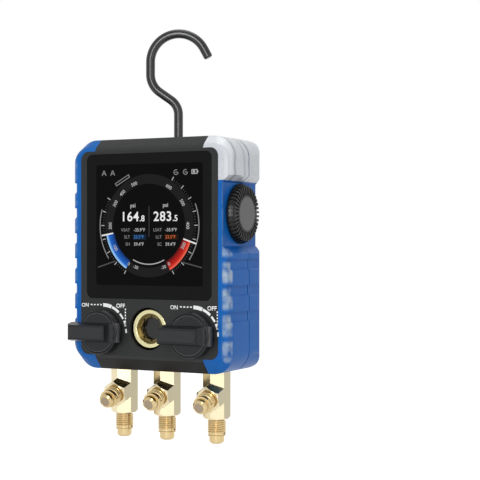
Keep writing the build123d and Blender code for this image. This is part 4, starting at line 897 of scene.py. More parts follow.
@dataclass
class Face:
    """A flat layer of print or light in front of the gauge's face."""

    depth: float
    thickness: float = 0.04
    # A capital letter's height beside the font's size.
    capital: float = 0.72

    def mount(self, name: str) -> Piece:
        """Turns the flat drawing made last from its XY plane upright in front of the face.

        Args:
            name: The piece's name.

        Returns:
            The upright piece.
        """
        piece = named(name)
        piece.matrix_world = posed(place(0, self.depth, 0), "X", 90) @ piece.matrix_world
        return settle(piece)

    def words(self, name: str, text: str, x: float, z: float, height: float, turn: float = 0.0,
              bold: float = 0.0, align: Align = Align.MIDDLE, spread: float = 1.0) -> Piece:
        """Flat lettering.

        Args:
            name: The piece's name.
            text: What it says.
            x: Middle of the word, or its end by align, in millimetres.
            z: Middle of its height.
            height: Height of a capital letter, in millimetres.
            turn: Degrees anticlockwise.
            bold: How far the strokes are thickened, in millimetres.
            align: Which part of the word stands at x.
            spread: Distance between the letters, 1 being the font's own.

        Returns:
            The lettering as a mesh.
        """
        deselect_all()
        bpy.ops.object.text_add()
        lettering = bpy.context.object
        lettering.data.body = text
        lettering.data.size = height / self.capital
        lettering.data.align_x = align.value
        lettering.data.align_y = "CENTER"
        lettering.data.offset = bold
        lettering.data.space_character = spread
        lettering.data.resolution_u = 4
        bpy.ops.object.convert(target="MESH")
        lettering.matrix_world = posed(Vector((x * MM, z * MM, 0)), "Z", turn) @ Matrix.Scale(MM, 4)
        return self.mount(name)

    def bar(self, name: str, x: float, z: float, length: float, width: float,
            turn: float = 0.0) -> Piece:
        """Flat bar.

        Args:
            name: The piece's name.
            x: Its middle, in millimetres.
            z: Its middle, in millimetres.
            length: Along its own direction.
            width: Across it.
            turn: Degrees anticlockwise from level.

        Returns:
            The bar as a mesh.
        """
        deselect_all()
        bpy.ops.mesh.primitive_plane_add(size=MM)
        bar = bpy.context.object
        size = Matrix.Diagonal((length, width, 1, 1))
        bar.matrix_world = posed(Vector((x * MM, z * MM, 0)), "Z", turn) @ size
        return self.mount(name)

    def arc(self, name: str, x: float, z: float, inner: float, outer: float, start: float,
            sweep: float, step: float = 2.5) -> Piece:
        """Flat arc band: an edge spun about the arc's centre.

        Args:
            name: The piece's name.
            x: Centre, in millimetres.
            z: Centre, in millimetres.
            inner: Inner radius.
            outer: Outer radius.
            start: Where it starts, in degrees anticlockwise from the right.
            sweep: How far it goes, in degrees; negative is clockwise.
            step: Degrees per face.

        Returns:
            The arc as a mesh.
        """
        deselect_all()
        bpy.ops.mesh.primitive_plane_add(size=1)
        band = bpy.context.object
        bpy.ops.object.mode_set(mode="EDIT")
        choose(band, Element.CORNER, lambda corner: corner.y < 0)
        bpy.ops.mesh.delete(type="VERT")
        bpy.ops.mesh.select_all(action="SELECT")
        mesh = bmesh.from_edit_mesh(band.data)
        angle = math.radians(start)
        for vert, radius in zip(mesh.verts, (inner, outer)):
            end = (x + radius * math.cos(angle), z + radius * math.sin(angle), 0)
            vert.co = Vector(end) * MM
        bmesh.update_edit_mesh(band.data)
        steps = max(2, round(abs(sweep) / step))
        bpy.ops.mesh.spin(steps=steps, angle=math.radians(-sweep), center=(x * MM, z * MM, 0),
                          axis=(0, 0, 1))
        weld(0.001)
        turn_outwards()
        return self.face_front(self.mount(name))

    def face_front(self, piece: Piece) -> Piece:
        """Turns the flat piece's faces to the front.

        Args:
            piece: The flat piece.

        Returns:
            The same piece.
        """
        if piece.data.polygons[0].normal.y > 0:
            hold(piece)
            bpy.ops.object.mode_set(mode="EDIT")
            bpy.ops.mesh.select_all(action="SELECT")
            bpy.ops.mesh.flip_normals()
            bpy.ops.object.mode_set(mode="OBJECT")
        return piece

    def join(self, pieces: list[Piece], name: str) -> Piece:
        """Makes one piece of several that share a finish, as thick as a layer of ink.

        Args:
            pieces: The flat pieces.
            name: Name of the whole.

        Returns:
            The joined piece.
        """
        hold(pieces[0])
        for piece in pieces[1:]:
            piece.select_set(True)
        if len(pieces) > 1:
            bpy.ops.object.join()
        whole = named(name)
        modify(whole, "SOLIDIFY", thickness=self.thickness * MM, offset=-1)
        return whole


# ---------------------------------------------------------------- housing
@dataclass
class Housing(Assembly):
    """The two shells with their rubber, the battery door and what is screwed to them."""

    shell_edge: float = 0.35
    door_edge: float = 0.25
    screw_edge: float = 0.1
    # The rubber's rounding, and the turn in degrees from which an edge of it is rounded.
    rubber_edge: float = 0.9
    rubber_angle: float = 25.0
    print_depth: float = -0.05
    print_bold: float = 0.08
    # The marks round a valve, from its axis: place and height of each word,
    on_word: tuple[float, float, float] = (-12.8, 15.4, 2.3)
    off_word: tuple[float, float, float] = (11.9, 15.4, 2.5)
    # place of the first dash or dot, pitch, number, and length and width of each,
    dashes: tuple[float, float, float, int, float, float] = (-8.3, 15.9, 2.2, 4, 1.2, 0.75)
    dots: tuple[float, float, float, int, float, float] = (15.3, 13.5, 1.75, 6, 0.75, 0.95)
    # and the arrow's radius, then the start, sweep and half width of its steps.
    arrow_radius: float = 15.8
    arrow: tuple[tuple[float, float, float], ...] = (
        (90.5, 21.5, 1.05), (67.5, 20.0, 0.75), (43.5, 13.5, 0.62), (25.5, 12.0, 0.55),
        (7.5, 8.5, 0.48))

    def shells(self) -> None:
        """Front and rear shell and the battery door."""
        self.refine("front_shell", SHELL_ABS, "shell_abs", self.shell_edge)
        self.refine("back_shell", SHELL_ABS, "shell_abs", self.shell_edge)
        self.refine("battery_door", SHELL_ABS, "shell_abs", self.door_edge)

    def rubber(self) -> None:
        """Blue grips with soft rib edges, and the pale corner cap."""
        for node in ("front_left_grip", "rear_left_grip", "front_right_grip", "rear_right_grip"):
            self.refine(node, BLUE_TPE, "blue_rubber", self.rubber_edge, 3, self.rubber_angle)
        for node in ("front_corner_cap", "rear_corner_cap"):
            self.refine(node, CLEAR_TPE, "frost_rubber", self.rubber_edge, 3, self.rubber_angle)

    def valve_marks(self, layer: Face, x: float) -> list[Piece]:
        """White words, dashes, dots and arrow arc round one valve.

        Args:
            layer: The layer that they are printed in.
            x: The valve's axis.

        Returns:
            The flat marks.
        """
        marks = []
        for text, (across, up, height) in (("ON", self.on_word), ("OFF", self.off_word)):
            marks.append(layer.words("word", text, x + across, VALVE_Z + up, height,
                                     bold=self.print_bold))
        across, up, pitch, count, length, width = self.dashes
        for index in range(count):
            marks.append(layer.bar("dash", x + across + pitch * index, VALVE_Z + up, length, width))
        across, up, pitch, count, length, width = self.dots
        for index in range(count):
            marks.append(layer.bar("dot", x + across, VALVE_Z + up - pitch * index, length, width))
        for start, sweep, half in self.arrow:
            marks.append(layer.arc("arrow", x, VALVE_Z, self.arrow_radius - half,
                                   self.arrow_radius + half, start, -sweep))
        return marks

    def build(self) -> None:
        """Builds the whole sub-assembly."""
        self.shells()
        self.rubber()
        layer = Face(self.print_depth)
        marks = self.valve_marks(layer, -VALVE_X) + self.valve_marks(layer, VALVE_X)
        self.fit(layer.join(marks, "valve_print"), WHITE_INK, "shell_abs")
        for node in ("case_screws", "door_screws"):
            self.refine(node, ZINC, "screw_steel", self.screw_edge, 1)
        self.dress(NITRILE, "seam_gasket")
        self.dress(ACETAL, "mid_frame")
        self.dress(ZINC, "frame_screws", "board_screws")
        self.dress(BOARD_GREEN, "main_board")
        self.dress(CHIP_EPOXY, "board_parts")
        self.dress(CELL_JACKET, "battery_cells")
        self.dress(NICKEL, "battery_contacts")


# ---------------------------------------------------------------- display
@dataclass
class Display(Assembly):
    """Cover, panel and the lit picture of the dial. Angles are anticlockwise from the right."""

    cover_edge: float = 0.2
    # The black window: left, right, bottom, top, depth, thickness and corner radius.
    window: tuple[float, float, float, float] = (-35.5, 36.4, 50.2, 121.0)
    window_depth: float = -0.01
    window_thickness: float = 0.1
    window_corner: float = 1.8
    # Depth of the lit layers, and from one layer to the next.
    ground: float = -0.11
    bar_depth: float = -0.18
    number_depth: float = -0.30
    layer_step: float = 0.06
    # The dial: its centre, and inner and outer radius of its rings.
    centre_x: float = 0.65
    centre_z: float = 85.0
    band: tuple[float, float] = (24.4, 30.0)
    pressure: tuple[float, float] = (23.8, 29.4)
    outer_arc: tuple[float, float] = (33.1, 33.7)
    lower_arc: tuple[float, float] = (22.1, 22.7)
    # Start, end and long spaces of each scale; radius, length and width of its ticks.
    scales: tuple[tuple[float, float, int], ...] = ((149.5, 239.5, 6), (59.0, -58.6, 8))
    small_spaces: int = 5
    long_tick: tuple[float, float, float] = (31.5, 2.3, 0.5)
    short_tick: tuple[float, float, float] = (31.0, 0.9, 0.3)
    # The scales' numbers with their angles, and the two lowest numbers with place and turn.
    number_radius: float = 26.1
    numbers: tuple[tuple[str, float], ...] = (
        ("0", 239.0), ("100", 209.4), ("200", 180), ("300", 150.1), ("400", 132.6),
        ("500", 111.7), ("0", -57.9), ("200", -26.4), ("400", 0), ("500", 30.1), ("600", 58.4))
    lowest: tuple[tuple[float, float, float], ...] = ((-8.0, 60.8, -16), (10.9, 60.9, 16))
    # Angle, inner and outer end of each pointer.
    pointers: tuple[tuple[float, float, float], ...] = ((190.1, 24.6, 32.7), (-18.3, 24.5, 33.4))
    # Right end, whole part and tenths of each large reading.
    large: tuple[tuple[float, str, str], ...] = ((-5.9, "164", ".8"), (16.3, "283", ".5"))
    # Height and value of each line of small values.
    lines: tuple[tuple[float, str], ...] = ((82.5, "-35.9°F"), (78.4, "23.5°F"), (74.2, "59.4°F"))
    small_height: float = 1.9
    thin_bold: float = 0.04

    def cover(self) -> None:
        """Glossy cover and the black window of the panel in it."""
        self.refine("display_lens", LENS_ACRYLIC, "display_cover", self.cover_edge)
        left, right, bottom, top = self.window
        middle = place((left + right) / 2, self.window_depth, (bottom + top) / 2)
        well_out = 30 * MM
        deselect_all()
        bpy.ops.mesh.primitive_cube_add(size=MM)
        window = named("display_window")
        window.matrix_world = Matrix.Translation(middle) @ Matrix.Diagonal(
            (right - left, self.window_thickness, top - bottom, 1))
        settle(window)
        choose(window, Element.EDGE, lambda edge: abs(edge.x - middle.x) > well_out
               and abs(edge.z - middle.z) > well_out)
        bpy.ops.mesh.bevel(offset=self.window_corner * MM, segments=6)
        bpy.ops.object.mode_set(mode="OBJECT")
        self.fit(window, LCD_BLACK, "lcd_glass")
        self.dress(LCD_BLACK, "lcd_panel")

    def lit(self, layer: Face, pieces: list[Piece], name: str, light: Glow) -> None:
        """Joins the flat pieces of one colour and fits them.

        Args:
            layer: The layer that they lie in.
            pieces: The flat pieces.
            name: Name of the joined piece.
            light: Its light.
        """
        self.fit(layer.join(pieces, name), light, "lcd_glass")

    def in_front(self, layer: Face) -> Face:
        """The next layer, a step nearer to the eye."""
        return Face(layer.depth - self.layer_step)

    def point(self, radius: float, angle: float) -> tuple[float, float]:
        """Point of the dial, from its radius and its angle in degrees."""
        turn = math.radians(angle)
        return self.centre_x + radius * math.cos(turn), self.centre_z + radius * math.sin(turn)

    def ring(self, layer: Face, radii: tuple[float, float], start: float, sweep: float) -> Piece:
        """Arc about the dial's centre, from its inner and outer radius, start and sweep."""
        return layer.arc("ring", self.centre_x, self.centre_z, *radii, start, sweep)

    def scale_ring(self, layer: Face) -> None:
        """Dark band, scale ticks and the thin arcs.

        Args:
            layer: The layer that the band lies in.
        """
        self.lit(layer, [self.ring(layer, self.band, 0, 360)], "dial_band", LIT_BAND)
        front = self.in_front(layer)
        major, minor = [], []
        for start, end, spaces in self.scales:
            count = self.small_spaces * spaces
            for index in range(count + 1):
                angle = start + (end - start) * index / count
                long = index % self.small_spaces == 0
                radius, length, width = self.long_tick if long else self.short_tick
                x, z = self.point(radius, angle)
                (major if long else minor).append(front.bar("tick", x, z, length, width, angle))
        self.lit(front, major, "dial_ticks", LIT_PALE)
        self.lit(front, minor, "dial_small_ticks", LIT_DIM)
        arcs = [self.ring(front, self.outer_arc, *ends) for ends in ((163, 52), (22, -58))]
        self.lit(front, arcs, "dial_arcs", LIT_GREY)
        self.lit(front, [self.ring(front, self.lower_arc, -62, -56)], "low_arc", LIT_PALE)

    def scale_numbers(self, layer: Face) -> None:
        """Numbers round the inside of the two scales; the lower ones have their heads inwards.

        Args:
            layer: The layer that they lie in.
        """
        written = []
        for text, angle in self.numbers:
            x, z = self.point(self.number_radius, angle)
            turn = 90 if angle > 200 or angle < -10 else -90
            written.append(layer.words("number", text, x, z, 2.0, turn=angle + turn,
                                       bold=self.thin_bold))
        for x, z, turn in self.lowest:
            written.append(layer.words("number", "-30", x, z, self.small_height, turn=turn,
                                       bold=self.thin_bold))
        self.lit(layer, written, "dial_numbers", LIT_PALE)

    def bars(self, layer: Face) -> None:
        """Blue and red bar of the two pressures with their white pointers.

        Args:
            layer: The layer that the bars lie in.
        """
        centre = (self.centre_x, layer.depth, self.centre_z)
        blue = LitBand("lit_blue_bar", "#082A63", "#1A62C4", "#A6D8FA", centre, *self.pressure)
        red = LitBand("lit_red_bar", "#4A080A", "#C01E18", "#F0664E", centre, *self.pressure)
        self.lit(layer, [self.ring(layer, self.pressure, 190.5, 48)], "low_bar", blue)
        self.lit(layer, [self.ring(layer, self.pressure, -18.6, -42)], "high_bar", red)
        front = self.in_front(layer)
        drawn = []
        for angle, inner, outer in self.pointers:
            x, z = self.point((inner + outer) / 2, angle)
            drawn.append(front.bar("pointer", x, z, outer - inner, 0.8, angle))
        self.lit(front, drawn, "dial_pointers", LIT_WHITE)

    def readings(self, layer: Face) -> None:
        """The two large readings with their units.

        Args:
            layer: The layer that they lie in.
        """
        words = []
        for right_end, whole, tenths in self.large:
            words.append(layer.words("reading", whole, right_end, 90.1, 5.6, bold=0.1,
                                     align=Align.RIGHT, spread=1.1))
            words.append(layer.words("tenths", tenths, right_end + 0.4, 89.1, 3.5, bold=0.07,
                                     align=Align.LEFT))
        self.lit(layer, words, "readings", LIT_WHITE)
        units = [layer.words("unit", "psi", x, 96.8, 2.4, bold=0.05) for x in (-10.0, 12.0)]
        self.lit(layer, units, "units", LIT_PALE)

    def small_values(self, layer: Face) -> None:
        """Three lines of small values on each side, the middle ones on a coloured field.

        Args:
            layer: The layer that they lie in.
        """
        low = (-12.0, -9.4, ("VSAT", "SLT", "SH"), "low", LIT_BLUE_FIELD, LIT_BLUE_TEXT)
        high = (9.6, 11.9, ("LSAT", "LLT", "SC"), "high", LIT_ORANGE_FIELD, LIT_ORANGE_TEXT)
        front = self.in_front(layer)
        labels, values = [], []
        for label_end, start, titles, side, field, text in (low, high):
            for index, ((z, value), title) in enumerate(zip(self.lines, titles)):
                labels.append(layer.words("label", title, label_end, z, self.small_height,
                                          align=Align.RIGHT))
                middle = index == 1
                if middle:
                    back = [layer.bar("field", start + 4.0, z, 9.0, 3.2)]
                    self.lit(layer, back, side + "_value_field", field)
                word = (front if middle else layer).words(
                    "value", value, start, z, self.small_height, bold=self.thin_bold,
                    align=Align.LEFT)
                if middle:
                    self.lit(front, [word], side + "_value", text)
                else:
                    values.append(word)
        self.lit(layer, labels, "value_labels", LIT_GREY)
        self.lit(layer, values, "values", LIT_PALE)
        self.lit(layer, [layer.bar("divider", 0.95, 87.5, 0.3, 18.0)], "divider", LIT_DIM)

    def corners(self, layer: Face) -> None:
        """Small status signs in the upper corners, the leaning sign and the two wing lines.

        Args:
            layer: The layer that they lie in.
        """
        signs = []
        for x in (-30.0, -24.0):
            for lean in (1, -1):
                signs.append(layer.bar("sign", x + 0.75 * lean, 116.1, 3.2, 0.5, 90 + 24 * lean))
            signs.append(layer.bar("sign", x, 115.7, 1.6, 0.45))
        for x in (19.0, 25.2):
            signs.append(layer.arc("sign", x, 115.6, 1.15, 1.6, 60, 300, 15))
            signs.append(layer.bar("sign", x + 0.3, 115.6, 1.5, 0.45))
        self.lit(layer, signs, "status_signs", LIT_GREY)
        # Two long sides, two ends, the charge and the knob of the battery's sign.
        outline = ((31.1, 116.8, 3.6, 0.5), (31.1, 114.6, 3.6, 0.5), (29.4, 115.7, 0.5, 2.6),
                   (32.8, 115.7, 0.5, 2.6), (30.8, 115.7, 1.4, 1.3), (33.3, 115.7, 0.5, 1.1))
        self.lit(layer, [layer.bar("sign", *part) for part in outline], "battery_sign", LIT_PALE)
        self.lit(layer, [layer.bar("pill", -17.2, 111.7, 10.8, 2.0, 29)], "pill_sign", LIT_GREY)
        front = self.in_front(layer)
        inside = [front.bar("pill", -17.2, 111.7, 9.8, 1.1, 29)]
        self.lit(front, inside, "pill_sign_field", LIT_PILL)
        wings = [layer.bar("wing", x, 62.4, 12.6, 0.7, turn)
                 for x, turn in ((-28.3, 17.0), (29.8, -13.0))]
        self.lit(layer, wings, "wing_lines", LIT_DIM)

    def build(self) -> None:
        """Builds the whole sub-assembly."""
        ground = Face(self.ground)
        self.cover()
        self.scale_ring(ground)
        self.bars(Face(self.bar_depth))
        self.scale_numbers(Face(self.number_depth))
        self.readings(ground)
        self.small_values(ground)
        self.corners(ground)


# ---------------------------------------------------------------- hook
@dataclass
class Hook(Assembly):
    """Bent and enamelled rod that swivels in the top of the housing."""

    body: str = "hook"
    radius: float = 2.735
    sides: int = 64
    foot_z: float = 125.0
    shank_end_z: float = 152.5
    bend_radius: float = 11.0
    bend_angle: float = 55.0
    bend_step: float = 3.0
    lower_radius: float = 13.0
    bow_left: float = -17.0
    bow_radius: float = 17.2
    bow_straight: float = 7.5
    bow_sweep: float = 152.0
    tip_length: float = 6.3
    tip_edge: float = 1.1
    # How far the hook is turned from the housing's front, in degrees.
    turned: float = 25.0

    def straight(self, direction: float, length: float) -> None:
        """Extrudes the open end.

        Args:
            direction: Degrees from +X towards +Z.
            length: Millimetres.
        """
        angle = math.radians(direction)
        step = Vector((math.cos(angle), 0, math.sin(angle))) * length * MM
        bpy.ops.mesh.extrude_region_move(TRANSFORM_OT_translate={"value": step})

    def bend(self, x: float, z: float, sweep: float) -> None:
        """Spins the open end about a centre.

        Args:
            x: The bend's centre in the hook's plane, in millimetres.
            z: The same, upwards.
            sweep: Degrees from +X towards +Z.
        """
        steps = max(4, round(abs(sweep) / self.bend_step))
        bpy.ops.mesh.spin(steps=steps, angle=math.radians(sweep), center=(x * MM, 0, z * MM),
                          axis=(0, 1, 0))

    def rod(self) -> Piece:
        """The rod: a disc extruded along each straight and spun round each bend.

        Returns:
            The rod, still in the plane Y = 0 with the shank at X = 0.
        """
        deselect_all()
        bpy.ops.mesh.primitive_circle_add(vertices=self.sides, radius=self.radius * MM,
                                          fill_type="NGON", location=(0, 0, self.foot_z * MM))
        rod = settle(named("hook_rod_skin"))
        bpy.ops.object.mode_set(mode="EDIT")
        bpy.ops.mesh.select_all(action="SELECT")
        bend = math.radians(self.bend_angle)
        self.straight(90, self.shank_end_z - self.foot_z)
        self.bend(-self.bend_radius, self.shank_end_z, self.bend_angle)
        lean_x = -self.bend_radius * (1 - math.cos(bend))
        lean_z = self.shank_end_z + self.bend_radius * math.sin(bend)
        lower_x = self.bow_left + self.lower_radius * (1 - math.cos(bend))
        run = (lean_x - lower_x) / math.sin(bend)
        self.straight(90 + self.bend_angle, run)
        slope_z = lean_z + run * math.cos(bend)
        lower_end_z = slope_z + self.lower_radius * math.sin(bend)
        self.bend(self.bow_left + self.lower_radius, lower_end_z, -self.bend_angle)
        self.straight(90, self.bow_straight)
        bow_z = lower_end_z + self.bow_straight
        self.bend(self.bow_left + self.bow_radius, bow_z, -self.bow_sweep)
        self.straight(90 - self.bow_sweep, self.tip_length)
        weld(0.002)
        bpy.ops.mesh.select_all(action="DESELECT")
        bpy.ops.mesh.select_interior_faces()
        bpy.ops.mesh.delete(type="FACE")
        turn_outwards()
        return rod

    def build(self) -> None:
        """Builds the whole sub-assembly."""
        rod = self.rod()
        rod.matrix_world = posed(place(0, HOOK_AXIS_Y, 0), "Z", self.turned)
        settle(rod)
        soften(rod, self.tip_edge, 5, 50.0)
        self.fit(rod, ENAMEL, "hook_enamel", ("hook_rod",))
        self.dress(ZINC, "hook_washer", "hook_clip")
        self.dress(ACETAL, "hook_bush")


# ---------------------------------------------------------------- manifold
@dataclass
class HosePorts(Assembly):
    """Three mitred hexagon ports with cut flare threads and closed parking stubs."""

    xs: tuple[float, float, float] = (-30.5, -0.5, 33.0)
    y: float = 23.3
    top_z: float = 11.5
    end_z: float = -27.7
    hex_flats: float = 14.0
    hex_chamfer: float = 1.3
    hex_edge: float = 0.15
    arm_z: float = -12.3
    arm_angle: float = 17.5
    arm_length: float = 12.1
    # Length of the thread and of the nose on it: of the hose's end and of the parking stub.
    hose_end: tuple[float, float] = (10.1, 4.3)
    stub_end: tuple[float, float] = (7.0, 3.8)
    thread_radius: float = 5.556
    root_radius: float = 4.9
    pitch: float = 1.27
    # How far the ridge reaches into its core, and half of its crest as a share of the pitch.
    sunk: float = 0.3
    crest: float = 0.12
    run_out: float = 0.9
    core_foot: float = 2.0
    nose_radius: float = 4.4
    nose_chamfer: float = 1.1
    # Radius and depth of the channel's mouth, and of the dished end of a closed stub.
    mouth: tuple[float, float] = (2.7, 0.3)
    channel_radius: float = 2.4
    dish: tuple[float, float] = (3.0, 0.15)
    dish_radius: float = 2.8
    # Radius, thickness, depth behind the end and edge of the disc in a stub's end.
    disc: tuple[float, float, float, float] = (3.2, 0.5, 0.27, 0.2)

    def thread(self, name: str, length: float) -> Piece:
        """Cut thread along +Z from the origin: a ridge wound on by the screw modifier.

        Args:
            name: The piece's name.
            length: Length of the thread in millimetres.

        Returns:
            The ridge, closed at both ends.
        """
        turns = int(length / self.pitch) - 1
        deselect_all()
        bpy.ops.mesh.primitive_circle_add(vertices=4, radius=1, fill_type="NGON")
        ridge = named(name)
        bpy.ops.object.mode_set(mode="EDIT")
        mesh = bmesh.from_edit_mesh(ridge.data)
        half, crest, root = self.pitch / 2, self.crest * self.pitch, self.root_radius - self.sunk
        outline = ((root, -half), (self.thread_radius, -crest), (self.thread_radius, crest),
                   (root, half))
        for vert, (radius, z) in zip(mesh.verts, outline):
            vert.co = Vector((radius, 0, z + half + 0.15)) * MM
        bmesh.update_edit_mesh(ridge.data)
        bpy.ops.object.mode_set(mode="OBJECT")
        modify(ridge, "SCREW", angle=TURN, screw_offset=self.pitch * MM, iterations=turns, steps=40,
               render_steps=40, use_normal_calculate=True)
        return ridge

    def flare_end(self, name: str, lengths: tuple[float, float], bored: bool) -> Piece:
        """Core with its flare nose, spun from a profile, and the thread wound on it.

        Args:
            name: The piece's name.
            lengths: Length of the thread and of the nose.
            bored: Whether the gas channel opens in the nose; a parking stub is closed.

        Returns:
            The threaded end along +Z from the origin.
        """
        thread, end = lengths[0], lengths[0] + lengths[1]
        collar = self.thread_radius - 0.15
        profile = ((0, -self.core_foot), (self.root_radius, -self.core_foot),
                   (self.root_radius, thread - self.run_out), (collar, thread - 0.7),
                   (collar, thread - 0.25), (self.nose_radius, thread),
                   (self.nose_radius, end - self.nose_chamfer),
                   (self.nose_radius - self.nose_chamfer, end))
        if bored:
            profile += ((self.mouth[0], end), (self.channel_radius, end - self.mouth[1]),
                        (self.channel_radius, thread - 2.0), (0, thread - 2.0))
        else:
            profile += ((self.dish[0], end), (self.dish_radius, end - self.dish[1]),
                        (0, end - self.dish[1]))
        deselect_all()
        bpy.ops.mesh.primitive_circle_add(vertices=len(profile), radius=1)
        core = named(name)
        bpy.ops.object.mode_set(mode="EDIT")
        mesh = bmesh.from_edit_mesh(core.data)
        mesh.verts.ensure_lookup_table()
        for vert, (radius, z) in zip(mesh.verts, profile):
            vert.co = Vector((radius, 0, z)) * MM
        closing = [edge for edge in mesh.edges if all(v.co.x < 1e-7 for v in edge.verts)]
        bmesh.ops.delete(mesh, geom=closing, context="EDGES")
        bmesh.update_edit_mesh(core.data)
        bpy.ops.mesh.select_all(action="SELECT")
        bpy.ops.mesh.spin(steps=56, angle=TURN, center=(0, 0, 0), axis=(0, 0, 1))
        weld(0.005)
        turn_outwards()
        bpy.ops.object.shade_smooth_by_angle(angle=math.radians(25))
        ridge = self.thread(name + "_ridge", thread - self.run_out)
        hold(core)
        ridge.select_set(True)
        bpy.ops.object.join()
        return core

    def end_disc(self, name: str) -> Piece:
        """Dull disc that closes a parking stub, its edge turned round.

        Args:
            name: The piece's name.

        Returns:
            The disc, its front just behind the origin.
        """
        radius, thickness, depth, edge = self.disc
        deselect_all()
        bpy.ops.mesh.primitive_cylinder_add(vertices=48, radius=radius * MM, depth=thickness * MM,
                                            location=(0, 0, -depth * MM))
        disc = settle(named(name))
        choose(disc, Element.FACE, lambda face: face.z > -0.03 * MM)
        bpy.ops.mesh.bevel(offset=edge * MM, segments=3)
        bpy.ops.object.mode_set(mode="OBJECT")
        bpy.ops.object.shade_smooth_by_angle(angle=math.radians(40))
        return disc

    def hex_bar(self, name: str, length: float) -> Piece:
        """Hexagon bar along +Z from the origin, its far end turned to a cone.

        Args:
            name: The piece's name.
            length: Length in millimetres.

        Returns:
            The bar.
        """
        corner = self.hex_flats / math.sqrt(3)
        deselect_all()
        bpy.ops.mesh.primitive_cylinder_add(vertices=6, radius=corner * MM, depth=length * MM,
                                            location=(0, 0, length / 2 * MM))
        bar = settle(named(name))
        deselect_all()
        bpy.ops.mesh.primitive_cylinder_add(vertices=96, radius=(corner + 0.02) * MM,
                                            depth=2 * length * MM)
        turned = bpy.context.object
        choose(turned, Element.FACE, lambda face: face.z > (length - 0.01) * MM)
        bpy.ops.mesh.bevel(offset=self.hex_chamfer * MM, segments=1)
        bpy.ops.object.mode_set(mode="OBJECT")
        modify(bar, "BOOLEAN", operation="INTERSECT", object=turned, solver="EXACT")
        bpy.data.objects.remove(turned)
        return bar

    def add(self, piece: Piece, where: Matrix, finish: Finish) -> None:
        """Puts a piece in its place and fits it.

        Args:
            piece: The piece, along +Z from the origin.
            where: Its placement.
            finish: Its finish.
        """
        piece.matrix_world = where
        self.fit(settle(piece), finish, "brass")

    def port(self, node: str, x: float) -> None:
        """One port: the mitred bar, the hose's end below and the parking stub on the arm.

        Args:
            node: Name of the port's solid.
            x: Its place across the housing.
        """
        upright = self.hex_bar(node + "_skin", self.top_z - self.end_z)
        upright.matrix_world = posed(place(x, self.y, self.top_z), "X", 180)
        settle(upright)
        arm = self.hex_bar(node + "_arm", self.arm_length)
        tilt = posed(place(x, self.y, self.arm_z), "X", 90 + self.arm_angle)
        arm.matrix_world = tilt
        settle(arm)
        modify(upright, "BOOLEAN", operation="UNION", object=arm, solver="EXACT")
        bpy.data.objects.remove(arm)
        soften(upright, self.hex_edge, 2, 25.0)
        self.fit(upright, BRASS, "brass", (node,))
        self.add(self.flare_end(node + "_thread", self.hose_end, True),
                 posed(place(x, self.y, self.end_z), "X", 180), BRASS_THREAD)
        stub = Matrix.Translation((0, 0, self.arm_length * MM))
        self.add(self.flare_end(node + "_park", self.stub_end, False), tilt @ stub, BRASS_THREAD)
        end = Matrix.Translation((0, 0, (self.arm_length + sum(self.stub_end)) * MM))
        self.add(self.end_disc(node + "_plug"), tilt @ end, BRASS_DULL)

    def build(self) -> None:
        """Builds the whole sub-assembly."""
        for node, x in zip(("low_port", "common_port", "high_port"), self.xs):
            self.port(node, x)


@dataclass
class Manifold(Assembly):
    """Block, bonnets, sight glass and sensors."""

    sight_edge: float = 0.12

    def build(self) -> None:
        """Builds the whole sub-assembly."""
        self.refine("sight_barrel", BRASS_FACE, "brass", self.sight_edge)
        self.refine("sight_ring", BRASS_SHADED, "brass", self.sight_edge)
        self.dress(BRASS_BLOCK, "manifold_block")
        self.dress(BRASS, "valve_bonnets")
        self.dress(ZINC, "block_screws")
        self.dress(STAINLESS, "low_sensor", "high_sensor")
        self.dress(NITRILE, "stem_seals", "sensor_seals", "sight_seal")
        self.dress(SIGHT_GLASS, "sight_glass")


class Side(Enum):
    """Which of the two valves."""

    LOW = "low"
    HIGH = "high"


@dataclass
class Valve(Assembly):
    """One quarter-turn valve: the lever handle with its plate and the stem."""

    side: Side = Side.LOW
    edge: float = 0.45
    plate_edge: float = 0.2
    # Front of the round base; inner and outer radius of the painted shade ring and highlight ring.
    base_front: float = -7.0
    line: tuple[float, float] = (11.55, 12.25)
    highlight_radii: tuple[float, float] = (11.2, 11.55)

    def __post_init__(self) -> None:
        """Each valve's pieces ride on its own body."""
        self.body = f"{self.side.value}_valve"

    def build(self) -> None:
        """Builds the whole sub-assembly."""
        name = self.side.value
        self.refine(f"{name}_handle", HANDLE_NYLON, "handle_nylon", self.edge, 3)
        self.refine(f"{name}_handle_label", LABEL_NYLON, "handle_nylon", self.plate_edge)
        x = VALVE_X if self.side is Side.HIGH else -VALVE_X
        layer = Face(self.base_front - 0.02)
        # A painted shade ring and a painted highlight ring, flat in front of the base.
        for part, radii, finish in (("line", self.line, RING_SHADE), ("edge", self.highlight_radii, RING_HIGHLIGHT)):
            ring = layer.arc(part, x, VALVE_Z, *radii, 0, 360, 5)
            self.fit(layer.join([ring], f"{name}_ring_{part}"), finish, "handle_nylon")
        self.dress(STAINLESS, f"{name}_stem")
        self.dress(ZINC, f"{name}_handle_screw")


@dataclass
class SideKnob(Assembly):
    """Toothed push knob on its encoder."""

    body: str = "knob"
    tooth_edge: float = 0.15
    disc_edge: float = 0.1

    def build(self) -> None:
        """Builds the whole sub-assembly."""
        self.refine("side_knob", KNOB_NYLON, "knob_rubber", self.tooth_edge)
        self.refine("knob_disc", KNOB_DISC, "knob_disc_plastic", self.disc_edge)
        self.dress(ACETAL, "encoder_body", "encoder_plunger")
        self.dress(ZINC, "encoder_nut", "encoder_shaft")


